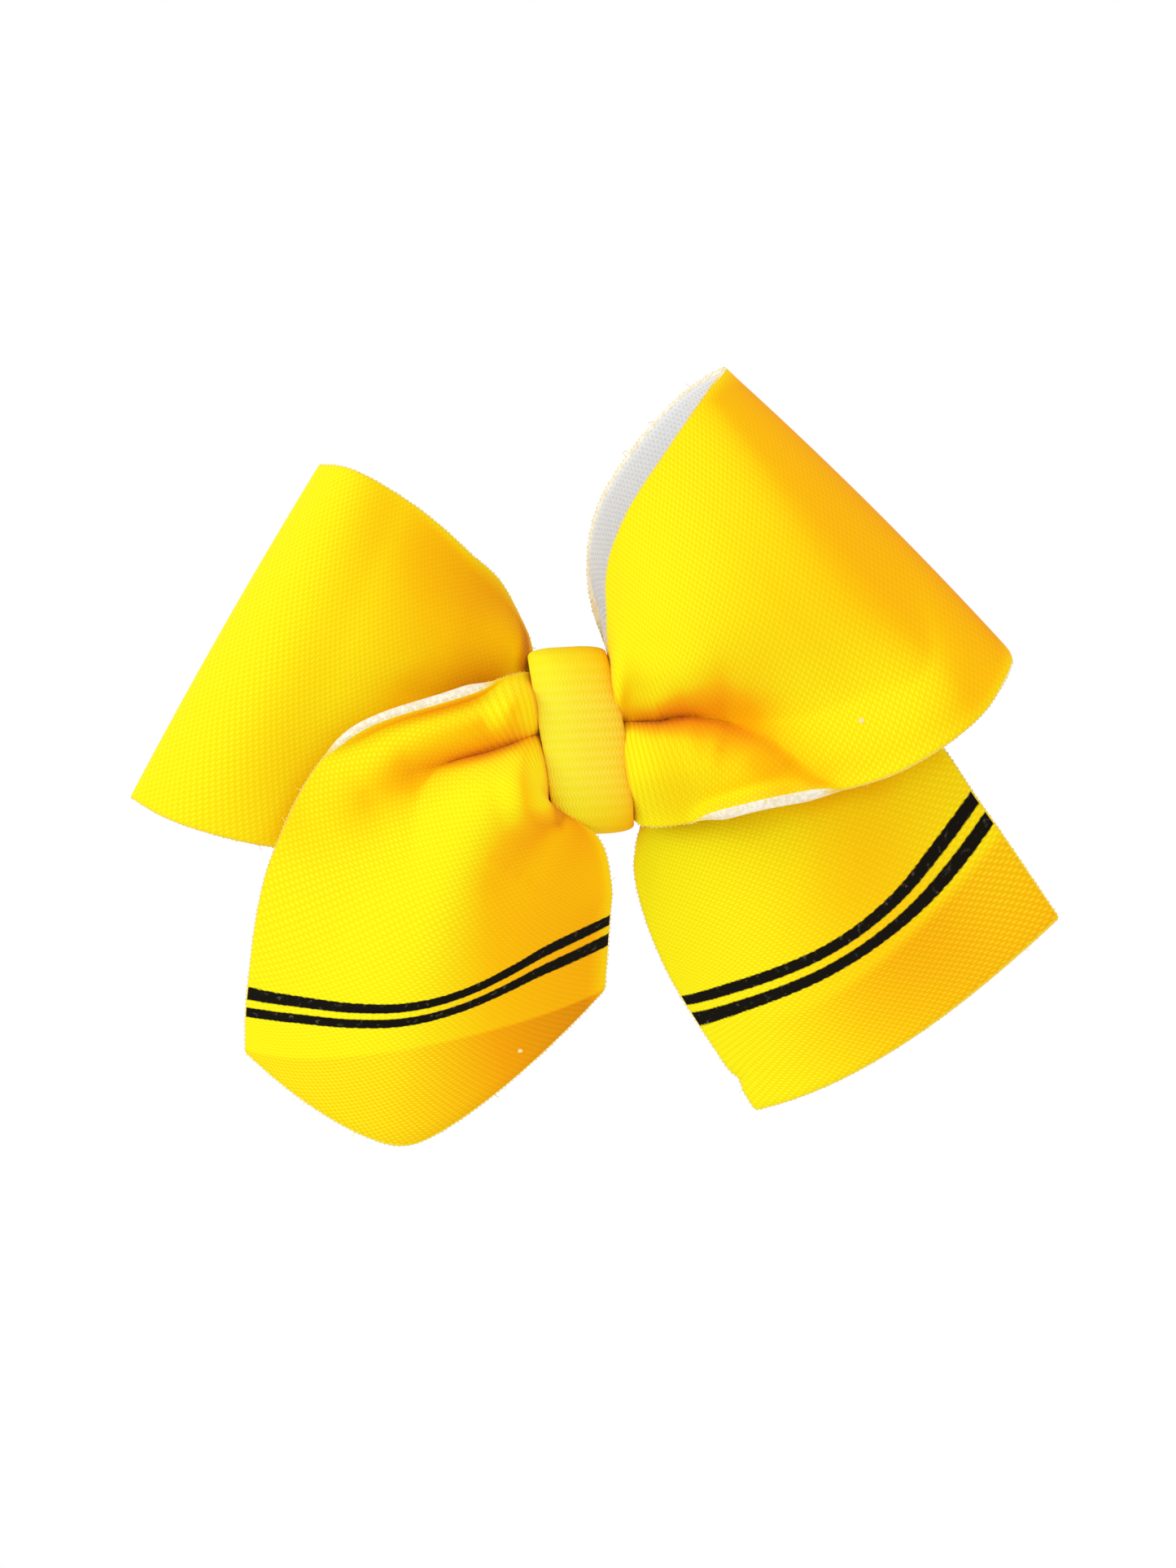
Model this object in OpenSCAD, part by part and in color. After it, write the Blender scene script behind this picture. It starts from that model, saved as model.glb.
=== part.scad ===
// Cheer hair bow: one wide knit strip folded into two loops and two tails, gathered with
// thread, covered by a padded centre wrap and glued to a sprung, toothed alligator clip.
// Origin: midway between the closed jaws, straight behind the knot.
// +X is to the right seen from the front, +Y goes into the hair, +Z is up. Millimetres.

/* [Bow] */
// Overall width, from the left loop's fold to the right tail's corner
bow_w = 128.8; // [107:0.2:155]
// Overall height, from the right loop's corner to the left tail's point
bow_h = 107.1; // [89:0.1:129]
// How far the left tail stands in front of the knot; the loops' depth follows it
bow_d = 12; // [10.5:0.1:15]
// Thickness of the knit where it lies loose
fabric_t = 1.5; // [1:0.05:1.8]
// Depth of the point that the left tail is cut to
point_d = 10.3; // [4:0.1:14]

/* [Gathered knot] */
// Height of the strip where the thread gathers it
pinch_h = 17.4; // [14.6:0.1:21.2]
// Depth of the two pleats in each layer
pleat_d = 3.6; // [3:0.05:3.9]
// Pitch of the three nested layers, front to back
layer_pitch = 2.3; // [2.1:0.05:2.8]
// Thickness of the knit squeezed in the knot
pinch_t = 1; // [0.8:0.05:1.1]
// Lean of the knot and its wrap, top towards the left (degrees)
knot_lean = 9.2; // [4:0.1:12]

/* [Gathering thread] */
// Diameter of the thread
thread_d = 0.6; // [0.4:0.05:0.8]
// Turns round the gathers
thread_turns = 5; // [3:1:6]
// Pitch of the turns
thread_pitch = 0.8; // [0.8:0.05:1]

/* [Centre wrap] */
// Width of the folded band
wrap_w = 10.9; // [9:0.1:13.2]
// Thickness of the folded band
wrap_t = 2.4; // [2:0.1:3]
// Extra swell of the band's outer face along its middle
wrap_crown = 0.35; // [0:0.05:0.6]
// Thickness of the glue where the band's ends lap at the back
lap_glue_t = 0.4; // [0.3:0.05:0.8]

/* [Alligator clip] */
// Length of the flat top jaw
clip_len = 46; // [40:0.5:56]
// Width of the top jaw
clip_w = 10; // [9.6:0.1:12]
// Thickness of the stamped steel
steel_t = 0.7; // [0.5:0.05:0.85]
// Thickness of the ribbon that lines the top jaw
lining_t = 0.5; // [0.3:0.05:0.7]
// Thickness of the glue between the wrap and the lining
clip_glue_t = 0.8; // [0.5:0.05:1.2]
// Distance from the tips of the jaws to the pivot
bite_len = 33; // [27.5:0.5:39.6]
// Radius of the pivot pin
pin_r = 1; // [0.8:0.05:1.1]
// Pitch of the teeth
tooth_pitch = 1.6; // [1.2:0.1:2]
// Height of the teeth
tooth_h = 1; // [0.7:0.05:1.2]
// Teeth along each side of the lower jaw
teeth = 10; // [6:1:12]
// Angle of the lower lever to the top jaw, which is how far the clip opens (degrees)
lever_angle = 30; // [25:0.5:36]
// Length of the lower lever from the pivot
lever_len = 14; // [11.5:0.1:17]
// Radius of the spring's wire
wire_r = 0.4; // [0.3:0.05:0.45]

/* [Clearances] */
// Gap between two parts that lie against each other without pressing
seat_gap = 0.3; // [0.1:0.05:0.4]
// Gap between the closed jaws
mouth_gap = 0.3; // [0.2:0.05:0.5]
// Radial running clearance of the pin in the lower jaw
running_gap = 0.05; // [0.01:0.01:0.1]
// Sideways gap between the two jaws' ears
ear_gap = 0.5; // [0.2:0.05:0.8]
// Slack of the thread round the gathers' corners
thread_gap = 0.7; // [0.65:0.05:0.9]
// Gap between the spring's coil and the pin inside it
coil_gap = 0.35; // [0.2:0.05:0.4]
// Gap between the spring and the jaws round it
spring_gap = 0.1; // [0.05:0.05:0.2]
// Gap by which the strip stays clear of the wrap that it crosses
cross_gap = 1; // [0.9:0.05:1.4]

/* [Hidden] */

// Steps between two stations of the strip, and across its width
steps_along = 3;
steps_across = 14;

// The sizes that the strip's stations below are drawn at
drawn_w = 128.8;
drawn_h = 107.1;
drawn_d = 12;
drawn_pinch_h = 17.4;
drawn_wrap_z = 11.5;

// Half sizes of the gathered bundle, and of the thread and the wrap round it
bundle_y = layer_pitch + (pleat_d + pinch_t) / 2;
bundle_z = pinch_h / 2;
thread_y = bundle_y + thread_d / 2 + thread_gap;
thread_z = bundle_z + thread_d / 2 + thread_gap;
wrap_y = thread_y + thread_d / 2 + seat_gap + wrap_t / 2;
wrap_z = thread_z + thread_d / 2 + seat_gap + wrap_t / 2;

// Exponents of the squared-off ovals that the thread and the wrap follow; 1 is an ellipse
thread_square = 0.22;
wrap_square = 0.36;

// The wrap's ends pass each other by this angle each side, and the outer one steps out
// between these angles by this much
lap_angle = 9;
step_from = -285;
step_to = -330;
lap_step = wrap_t + wrap_crown + lap_glue_t;

// Front to back, from the jaws' meeting plane to the knot
lining_in = -mouth_gap / 2;
jaw_in = lining_in - lining_t;
jaw_out = jaw_in - steel_t;
lining_out = jaw_out - lining_t;
wrap_back = lining_out - clip_glue_t;
knot_y = wrap_back - wrap_y - lap_step - wrap_t / 2 - wrap_crown;

// The clip along X: the lining stops short of the jaw's rear end and of the ears
pivot_x = 9;
tip_x = pivot_x - bite_len;
rear_x = tip_x + clip_len;
lining_rear_bare = 2;
lining_ear_bare = 7;
lining_rear_x = rear_x - lining_rear_bare;
lining_grip_x = pivot_x - lining_ear_bare;
lining_w = clip_w - 2;

// Corners of the stamped sheet, and how much narrower the top jaw's tip is than its rear
corner_r = 0.6;
jaw_corner_r = 2.2;
tip_taper = 1.2;

// Pads of glue: the one in the wrap's lap, and the one between the wrap and the clip
lap_pad_w = wrap_w * 0.6;
lap_pad_h = 6;
clip_pad_w = wrap_w + 2;
clip_pad_h = clip_w - 1.4;

// Ears, pin and spring: the pivot lies where the coil just clears the top jaw
ear_wall = 0.9;
coil_r = pin_r + wire_r + coil_gap;
coil_out = coil_r + wire_r;
pivot_y = jaw_in + coil_out + spring_gap;
top_ear_r = coil_out - spring_gap / 2;
low_ear_r = pin_r + ear_wall;
top_ear_z = clip_w / 2 - steel_t;
low_ear_z = top_ear_z - ear_gap - steel_t;
coil_turns = 4;
coil_pitch = (2 * low_ear_z - 2 * wire_r - 2 * seat_gap) / (coil_turns + 1);
leg_len = lever_len - 2;
head_over = 0.7;
head_h = 0.5;
head_taper = 0.3;

// The lower jaw's sheet, as lines that pass the coil at a clear distance
sheet_r = coil_out + spring_gap;
nose_wall = 0.35;
nose_y = mouth_gap / 2 + tooth_h + nose_wall;
nose_angle = atan((pivot_y + sheet_r - nose_y) / bite_len);
bend_angle = (nose_angle + lever_angle) / 2;
bend_half = (lever_angle - nose_angle) / 2;

function power(c, e) = sign(c) * pow(abs(c), e);
function oval(a, y, z, e) = [0, y * power(cos(a), e), z * power(sin(a), e)];
function unit(v) = v / norm(v);

// ---------------------------------------------------------------- skins

// A closed skin over rings of points; each ring runs out along one side and back along the
// other, so its ends close as a ladder.
module skin(rings) {
    n = len(rings[0]);
    last = len(rings) - 1;
    points = [for (r = rings) for (p = r) p];
    sides = [for (i = [0:last - 1]) for (j = [0:n - 1])
        let (k = (j + 1) % n) each [
            [i * n + j, i * n + k, (i + 1) * n + k],
            [i * n + j, (i + 1) * n + k, (i + 1) * n + j]]];
    start = [for (j = [0:n / 2 - 2]) each [
        [j, n - 2 - j, j + 1],
        [j, n - 1 - j, n - 2 - j]]];
    end = [for (f = start) [for (i = [2:-1:0]) f[i] + last * n]];
    polyhedron(points, concat(sides, start, end));
}

// Rings of a wire of radius r along a path, with its sections square to the path
function wire(path, r, sides, up) = let (last = len(path) - 1)
    [for (i = [0:last]) let (
            ahead = unit(path[min(i + 1, last)] - path[max(i - 1, 0)]),
            side = unit(cross(ahead, up)),
            top = cross(side, ahead))
        [for (j = [0:sides - 1]) let (a = 360 * j / sides)
            path[i] + r * (side * cos(a) + top * sin(a))]];

// ---------------------------------------------------------------- bow strip

// One station of the strip: a and b are its two cut edges, swell is how far its middle stands
// off the line between them, pleat is the share of the knot's pleats, valley is where the dip
// between the two pleats lies and point is the share of the cut point.
function station(a, b, swell, pleat, valley, point) = concat(a, b, swell, [pleat, valley, point]);

// A station where the strip lies loose, drawn at the drawn size
function loose(a, b, swell, pleat = 0, valley = 0.5, point = 0) =
    station(sized(a), sized(b), sized(swell), pleat, valley, point);
function sized(p) = [p[0] * bow_w / drawn_w, p[1] * bow_d / drawn_d, p[2] * bow_h / drawn_h];

// A station inside the knot: layer -1 is the front one, 0 the middle and 1 the rear
function layer_y(layer) = pleat_d / 2 + layer * layer_pitch;
function gathered(x, layer) = let (y = layer_y(layer), lean = bundle_z * tan(knot_lean))
    station([x - lean, y, bundle_z], [x + lean, y, -bundle_z], [0, 0, 0], 1, 0.5, 0);

// A station just outside the wrap. Its edges lie at heights top and low, drawn for a knot of
// the drawn height, gap_a and gap_b out from the wrap's side, and forward of their layer.
function beside(side, layer, forward, gap_a, top, gap_b, low, pleat, valley = 0.5) =
    let (y = layer_y(layer) - forward, k = pinch_h / drawn_pinch_h)
    station(edge_beside(side, gap_a, y, top * k), edge_beside(side, gap_b, y, low * k),
        [0, 0, 0], pleat, valley, 0);
function edge_beside(side, gap, y, z) =
    [side * (wrap_w / 2 + gap) - z * tan(knot_lean), y, z];

// The left tail's inner edge where it crosses in front of the wrap's lower corner
function before_wrap(x, z) =
    [x, -wrap_y - wrap_t / 2 - wrap_crown - cross_gap, z * wrap_z / drawn_wrap_z];

// The strip from the cut end of the left tail to that of the right tail, with the knot's
// centre at zero. It crosses the knot three times, so both its ends hang in front of or
// between the loops with the printed face forward.
knot_inset = 0.2;
knot_half = wrap_w / 2 - knot_inset;
stations = concat([
    // left tail, point first
    loose([-46, -7.5, -43], [2.9, -6, -34.5], [0, -6, -6.5], 0, 0.45, 1),
    loose([-45.7, -8.5, -35], [3.5, -6.5, -25.5], [0, -7, -6], 0, 0.45),
    loose([-42.4, -11, -16.2], [3.8, -7.5, -19.6], [0, -5, -2], 0.28, 0.42),
    station(sized([-32.5, -12, 0.4]), before_wrap(1.9, -13.4), sized([0, -3, 0]), 0.7, 0.4, 0),
    station(sized([-17.8, -9.5, 6.2]), before_wrap(-2.8, -10.9), [0, 0, 0], 0.9, 0.42, 0),
    beside(-1, -1, 4.2, 2.6, 8.9, 1.9, -10.6, 0.95, 0.46)],
    [for (x = [-1:1]) gathered(x * knot_half, -1)], [
    // right loop, front
    beside(1, -1, 1.9, 1.8, 12.2, 2.2, -11.2, 0.95, 0.52),
    loose([3.8, -6, 22.5], [18, -6, -10.3], [0, -1, 0], 0.9, 0.6),
    loose([6.2, -9, 30.4], [30, -9.5, -8.2], [0, -2.5, 0], 0.67, 0.72),
    loose([12.4, -9.5, 40.3], [45, -10.5, -3.7], [0, -3, 0], 0.28, 0.78),
    loose([17.6, -7, 48], [56, -7.5, 4.1], [0, -2, 0], 0.08, 0.8),
    // fold, then its back
    loose([19.6, -1.5, 51.2], [59.5, -2, 10.6], [0.5, 0, 0.5]),
    loose([15.5, 3, 49], [56.5, 3, 5.5], [0, 1.5, 0]),
    loose([7, 5.5, 39.9], [45, 6.5, -4.5], [0, 3, 0]),
    loose([1.9, 7, 30.4], [30, 8.5, -9.6], [0, 3, 0], 0.1),
    loose([0.9, 8, 21.8], [17, 8.6, -11.4], [0, 1, 0], 0.4),
    beside(1, 1, -2.5, 1.7, 12, 2, -11, 0.67)],
    [for (x = [-1:1]) gathered(-x * knot_half, 1)], [
    // left loop, back
    beside(-1, 1, -2.5, 1.7, 13, 3.6, -11, 0.67),
    loose([-16, 8, 24], [-20, 8.6, -13], [0, 1, 0], 0.33),
    loose([-24.5, 6.5, 32], [-40, 8, -13.5], [0, 3, 0], 0.05),
    loose([-33, 3, 37.2], [-58, 3.5, -9.8], [0, 1.5, 0]),
    // fold, then its front
    loose([-35.8, -1, 37.8], [-61.8, -1.5, -8], [-0.5, 0, 0]),
    loose([-33, -4.5, 37.6], [-57.8, -5, -10.3], [0, -1.5, 0]),
    loose([-24.5, -5.5, 33.2], [-42, -6.5, -14.6], [0, -2.2, 0], 0.17),
    loose([-15.8, -3.5, 26], [-24, -4, -14], [0, -1.2, 0], 0.45),
    loose([-10.5, 0.2, 19.6], [-11.5, 0.4, -12.2], [0, 0, 0], 0.6, 0.48),
    beside(-1, 0, 0, 1.5, 12.2, 2.7, -10.4, 0.8, 0.49)],
    [for (x = [-1:1]) gathered(x * knot_half, 0)], [
    // right tail, between the right loop's front and back
    beside(1, 0, -0.2, 5.4, 9.4, 1.3, -10.6, 0.85),
    loose([22, 1, 8], [7.6, 2, -17], [0, 0, 0], 0.45),
    loose([37, 0, 5.2], [9.4, 1.5, -25], [0, -1.5, -0.5], 0.17),
    loose([48.6, 0, 0.5], [12.4, 0.8, -32], [0, -3, -4]),
    loose([54.9, 0.5, -8.1], [14.7, 0.5, -36], [-0.5, -4, -7.3]),
    loose([66.2, 2, -24.7], [24.5, 0, -51], [-1.5, -4, -4.5])]);

function part3(row, i) = [row[i], row[i + 1], row[i + 2]];
last_station = len(stations) - 1;
spans = [for (i = [0:last_station - 1]) let (a = stations[i], b = stations[i + 1])
    (norm(part3(b, 0) - part3(a, 0)) + norm(part3(b, 3) - part3(a, 3))) / 2];
slopes = [for (i = [0:last_station]) let (
        before = (stations[max(i, 1)] - stations[max(i - 1, 0)]) / spans[max(i - 1, 0)],
        after = (stations[min(i + 1, last_station)] - stations[min(i, last_station - 1)])
            / spans[min(i, last_station - 1)],
        weight = spans[max(i - 1, 0)] / (spans[max(i - 1, 0)] + spans[min(i, last_station - 1)]))
    before * (1 - weight) + after * weight];

// A smooth curve through the stations: t runs from 0 at station i to 1 at the next
function between(i, t) =
    stations[i] * (2 * t ^ 3 - 3 * t ^ 2 + 1)
    + slopes[i] * spans[i] * (t ^ 3 - 2 * t ^ 2 + t)
    + stations[i + 1] * (3 * t ^ 2 - 2 * t ^ 3)
    + slopes[i + 1] * spans[i] * (t ^ 3 - t ^ 2);

// The share of the cut point at v across the tail, rounded at its tip
function point_share(v) = let (r = 0.02)
    (sqrt(1 + r) - sqrt((2 * v - 1) ^ 2 + r)) / (sqrt(1 + r) - sqrt(r));

// A point of the strip's middle surface at v across one row
function across(row, v) = let (
        valley = row[10],
        w = v < valley ? v / valley : 1 + (v - valley) / (1 - valley),
        pleats = (1 - cos(360 * w)) / 2)
    part3(row, 0) * (1 - v) + part3(row, 3) * v + part3(row, 6) * 4 * v * (1 - v)
    - [0, pleat_d * row[9] * pleats, 0]
    - row[11] * point_d * point_share(v) * [0.2, 0, 1];

module bow_strip() {
    rows = concat([for (i = [0:last_station - 1]) for (j = [0:steps_along - 1])
        between(i, j / steps_along)], [stations[last_station]]);
    middle = [for (r = rows) [for (j = [0:steps_across]) across(r, j / steps_across)]];
    m = len(rows) - 1;
    n = steps_across;
    out = [for (i = [0:m]) [for (j = [0:n])
        unit(cross(middle[min(i + 1, m)][j] - middle[max(i - 1, 0)][j],
            middle[i][min(j + 1, n)] - middle[i][max(j - 1, 0)]))]];
    half = [for (r = rows) (fabric_t + (pinch_t - fabric_t) * max(0, min(1, r[9]))) / 2];
    rings = [for (i = [0:m]) concat(
        [for (j = [0:n]) middle[i][j] + half[i] * out[i][j]],
        [for (j = [n:-1:0]) middle[i][j] - half[i] * out[i][j]])];
    color("gold") translate([0, knot_y, 0]) skin(rings);
}

// ---------------------------------------------------------------- knot

// Puts what is drawn round the knot's own axis in its place
module at_knot() {
    translate([0, knot_y, 0]) rotate([0, -knot_lean, 0]) children();
}

// The band runs from under its lap at the back, down, round the front and over the top, and
// then steps out over its own start.
module centre_wrap() {
    turns = 56;
    sides = 16;
    first = lap_angle;
    final = -360 - lap_angle;
    path = [for (i = [0:turns]) let (
            a = first + (final - first) * i / turns,
            s = max(0, min(1, (a - step_from) / (step_to - step_from))),
            step = lap_step * s * s * (3 - 2 * s))
        oval(a, wrap_y + step, wrap_z + step * 0.4, wrap_square)];
    rings = [for (i = [0:turns]) let (
            ahead = unit(path[min(i + 1, turns)] - path[max(i - 1, 0)]),
            out = cross([1, 0, 0], ahead))
        [for (j = [0:sides - 1]) let (
                a = -360 * (j + 0.5) / sides,
                x = wrap_w / 2 * power(cos(a), 0.45),
                swell = sin(a) > 0 ? wrap_crown * (1 - (2 * x / wrap_w) ^ 2) : 0)
            path[i] + [x, 0, 0] + out * (wrap_t / 2 * power(sin(a), 0.6) + swell)]];
    color("khaki") at_knot() skin(rings);
}

module gathering_thread() {
    steps = 24;
    path = [for (i = [0:thread_turns * steps]) let (a = 360 * i / steps)
        oval(a, thread_y, thread_z, thread_square)
            + [thread_pitch * (i / steps - thread_turns / 2), 0, 0]];
    color("ivory") at_knot() skin(wire(path, thread_d / 2, 6, [1, 0, 0]));
}

// A flat pad of glue, thick along Y from y0 to y1, with rounded corners
module pad(x, z, y0, y1, r) {
    translate([0, y1, 0]) rotate([90, 0, 0]) linear_extrude(y1 - y0) hull() {
        for (i = [-1, 1]) for (k = [-1, 1])
            translate([i * (x / 2 - r), k * (z / 2 - r)]) circle(r, $fn = 24);
    }
}

module wrap_glue() {
    from = wrap_y + wrap_t / 2 + wrap_crown;
    color("whitesmoke") at_knot() pad(lap_pad_w, lap_pad_h, from, from + lap_glue_t, 1.5);
}

module clip_glue() {
    color("whitesmoke") pad(clip_pad_w, clip_pad_h, wrap_back, lining_out, 2);
}

// ---------------------------------------------------------------- clip

// The outline of a stamped strip in X and Z: a narrower round tip and a round rear end
function outline(x0, w0, x1, w1, r) = concat(
    [for (a = [90:15:180]) [x0 + r + r * cos(a), w0 / 2 - r + r * sin(a)]],
    [for (a = [180:15:270]) [x0 + r + r * cos(a), -w0 / 2 + r + r * sin(a)]],
    [for (a = [-90:15:0]) [x1 - r + r * cos(a), -w1 / 2 + r + r * sin(a)]],
    [for (a = [0:15:90]) [x1 - r + r * cos(a), w1 / 2 - r + r * sin(a)]]);

// Extrudes an X-Z outline along Y from y0 to y1
module plate(y0, y1) {
    translate([0, y1, 0]) rotate([90, 0, 0]) linear_extrude(y1 - y0) children();
}

// Extrudes an X-Y profile along Z from z0 to z1, and again mirrored to the other side
module both_sides(z0, z1) {
    for (k = [0, 1]) mirror([0, 0, k])
        translate([0, 0, z0]) linear_extrude(z1 - z0) children();
}

module clip_lining() {
    w = lining_w;
    t = lining_t;
    color("gold") union() {
        plate(lining_out, jaw_out)
            polygon(outline(tip_x - t, w, lining_rear_x, w, corner_r));
        plate(jaw_in, lining_in)
            polygon(outline(tip_x - t, w, lining_grip_x, w, corner_r));
        plate(jaw_out - t / 2, jaw_in + t / 2)
            translate([tip_x - t, corner_r - w / 2]) square([t, w - 2 * corner_r]);
    }
}

module clip_top_jaw() {
    color("silver") difference() {
        union() {
            plate(jaw_out, jaw_in)
                polygon(outline(tip_x, clip_w - tip_taper, rear_x, clip_w, jaw_corner_r));
            both_sides(top_ear_z, top_ear_z + steel_t) {
                translate([pivot_x, pivot_y]) circle(top_ear_r, $fn = 48);
                translate([pivot_x - top_ear_r, jaw_out])
                    square([2 * top_ear_r, pivot_y - jaw_out]);
            }
        }
        translate([pivot_x, pivot_y, -clip_w]) cylinder(2 * clip_w, pin_r, pin_r, $fn = 48);
    }
}

// A rivet: its two heads clasp the top jaw's ears
module pivot_pin() {
    head_r = pin_r + head_over;
    color("gainsboro") translate([pivot_x, pivot_y, 0]) {
        cylinder(clip_w, pin_r, pin_r, center = true, $fn = 48);
        for (k = [0, 1]) mirror([0, 0, k])
            translate([0, 0, clip_w / 2]) cylinder(head_h, head_r, head_r - head_taper, $fn = 48);
    }
}

// A coil round the pin with one leg under the top jaw and one on the lower lever
module torsion_spring() {
    steps = 20;
    turn = 180 - lever_angle + 360 * coil_turns;
    count = round(turn * steps / 360);
    rise = coil_pitch * turn / 360;
    coil = [for (i = [0:count]) let (a = -90 - turn * i / count)
        [coil_r * cos(a), coil_r * sin(a), rise * (i / count - 0.5)]];
    path = concat(
        [coil[0] + [leg_len, 0, 0]],
        coil,
        [coil[count] + leg_len * [cos(lever_angle), sin(lever_angle), 0]]);
    color("dimgray") translate([pivot_x, pivot_y, 0]) skin(wire(path, wire_r, 8, [0, 0, 1]));
}

// The bent sheet of the lower jaw in X and Y, inner face first
function jaw_bend(r) = [pivot_x - r / cos(bend_half) * sin(bend_angle),
    pivot_y + r / cos(bend_half) * cos(bend_angle)];
function jaw_nose(r) = [tip_x, pivot_y + r / cos(nose_angle) - bite_len * tan(nose_angle)];
function lever_end(r) = [pivot_x - r * sin(lever_angle) + lever_len * cos(lever_angle),
    pivot_y + r * cos(lever_angle) + lever_len * sin(lever_angle)];

module clip_lower_jaw() {
    in = sheet_r;
    ex = sheet_r + steel_t;
    w = 2 * (low_ear_z + steel_t);
    tips_y = mouth_gap / 2;
    toothed = teeth * tooth_pitch;
    weld = 0.01;
    color("silver") difference() {
        union() {
            // the sheet, narrow in the channel and wide on the lever
            intersection() {
                translate([0, 0, -clip_w]) linear_extrude(2 * clip_w)
                    polygon([jaw_nose(in), jaw_bend(in), lever_end(in),
                        lever_end(ex), jaw_bend(ex), jaw_nose(ex)]);
                union() {
                    plate(-1, lever_len + 4)
                        polygon(outline(tip_x, w, pivot_x + 6, w, corner_r));
                    plate(-1, lever_len + 4)
                        polygon(outline(pivot_x + 4, clip_w, lever_end(in)[0], clip_w, 2));
                }
            }
            // the nose, turned up to the teeth
            translate([tip_x, tips_y, -w / 2 + corner_r])
                cube([steel_t, jaw_nose(in)[1] - tips_y + weld, w - 2 * corner_r]);
            // the toothed flanges
            both_sides(low_ear_z, low_ear_z + steel_t) {
                polygon(concat(
                    [for (i = [0:teeth - 1]) each [
                        [tip_x + corner_r + i * tooth_pitch, tips_y + tooth_h],
                        [tip_x + corner_r + (i + 0.5) * tooth_pitch, tips_y]]],
                    [[tip_x + corner_r + toothed, tips_y + tooth_h],
                        [pivot_x - low_ear_r, tips_y + tooth_h],
                        [pivot_x, pivot_y],
                        [pivot_x + low_ear_r * 0.8, pivot_y + low_ear_r * 0.6],
                        jaw_bend(in) + 3 * [cos(lever_angle), sin(lever_angle)]],
                    [jaw_bend(in) + [0, weld], jaw_nose(in) + [corner_r, weld]]));
                translate([pivot_x, pivot_y]) circle(low_ear_r, $fn = 48);
            }
        }
        translate([pivot_x, pivot_y, -clip_w])
            cylinder(2 * clip_w, pin_r + running_gap, pin_r + running_gap, $fn = 48);
    }
}

bow_strip();
centre_wrap();
gathering_thread();
wrap_glue();
clip_glue();
clip_lining();
clip_top_jaw();
pivot_pin();
torsion_spring();
clip_lower_jaw();
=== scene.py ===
# %% [markdown]
# # Cheer hair bow
# A cheer bow is folded from one long strip of thick printed knit. Two loops stand out at the
# sides, two tails hang below them, a padded band hides the gathers and a sprung clip sits
# behind. This lesson gives the imported model of the bow its real surfaces. The first cell loads
# that model as a fixed frame, and later cells fit the glue and the lining to its parts' boxes.

# %% Load the frame
import math
import bmesh
import bpy
import numpy as np
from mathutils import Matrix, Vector
from mathutils.bvhtree import BVHTree


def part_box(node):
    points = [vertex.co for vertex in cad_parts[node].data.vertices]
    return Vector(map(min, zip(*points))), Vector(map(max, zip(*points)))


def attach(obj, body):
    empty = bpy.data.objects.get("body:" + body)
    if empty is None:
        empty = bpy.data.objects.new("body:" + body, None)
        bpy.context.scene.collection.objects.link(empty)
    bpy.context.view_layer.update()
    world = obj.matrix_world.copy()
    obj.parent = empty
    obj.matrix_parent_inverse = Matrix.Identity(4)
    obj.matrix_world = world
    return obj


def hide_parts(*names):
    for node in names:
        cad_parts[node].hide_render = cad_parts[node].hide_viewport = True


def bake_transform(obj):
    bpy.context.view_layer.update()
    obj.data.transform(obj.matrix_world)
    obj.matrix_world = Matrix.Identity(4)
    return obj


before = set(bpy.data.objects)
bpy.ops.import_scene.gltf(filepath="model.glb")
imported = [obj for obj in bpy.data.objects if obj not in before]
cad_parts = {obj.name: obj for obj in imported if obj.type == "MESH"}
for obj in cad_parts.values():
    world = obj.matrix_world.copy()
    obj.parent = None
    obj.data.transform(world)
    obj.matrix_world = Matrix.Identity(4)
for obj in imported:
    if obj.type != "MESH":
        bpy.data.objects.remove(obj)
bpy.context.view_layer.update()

# %% [markdown]
# Colours are written as the hex values a dyer or a printer would quote, and one function turns
# them into the linear values that shaders work in. The other small functions add shader nodes
# with their settings and links, so that a material reads as a short list of steps.

# %% Colours and nodes
def linear(hex_colour):
    """An sRGB hex colour as linear RGBA."""
    parts = [int(hex_colour[i:i + 2], 16) / 255 for i in (1, 3, 5)]
    return [p / 12.92 if p <= 0.04045 else ((p + 0.055) / 1.055) ** 2.4 for p in parts] + [1]


def add(tree, kind, inputs=(), **settings):
    """Adds one node; inputs pairs a socket's name or number with a value or another socket."""
    node = tree.nodes.new(kind)
    for name, value in settings.items():
        setattr(node, name, value)
    for key, value in dict(inputs).items():
        socket = node.inputs[key]
        if isinstance(value, bpy.types.NodeSocket):
            tree.links.new(value, socket)
        else:
            socket.default_value = value
    return node


def calc(tree, operation, *values):
    """The result of one Math node."""
    return add(tree, "ShaderNodeMath", dict(enumerate(values)), operation=operation).outputs[0]


def blend_colours(tree, share, first, second):
    """Two colours mixed by a share from 0 to 1."""
    node = add(tree, "ShaderNodeMix", {"Factor": share, 6: first, 7: second}, data_type="RGBA")
    return node.outputs[2]


def new_material(name):
    """An empty material with its Principled shader already wired to the output."""
    material = bpy.data.materials.new(name)
    material.use_nodes = True
    tree = material.node_tree
    tree.nodes.clear()
    output = add(tree, "ShaderNodeOutputMaterial")
    shader = add(tree, "ShaderNodeBsdfPrincipled")
    tree.links.new(shader.outputs[0], output.inputs["Surface"])
    return material, tree, shader


def set_up(shader, **settings):
    """Sets a shader's plain inputs; an underscore stands for a space in a name."""
    for name, value in settings.items():
        shader.inputs[name.replace("_", " ")].default_value = value


def times(tree, *values):
    """The product of two or more values."""
    product = values[0]
    for value in values[1:]:
        product = calc(tree, "MULTIPLY", product, value)
    return product


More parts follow.
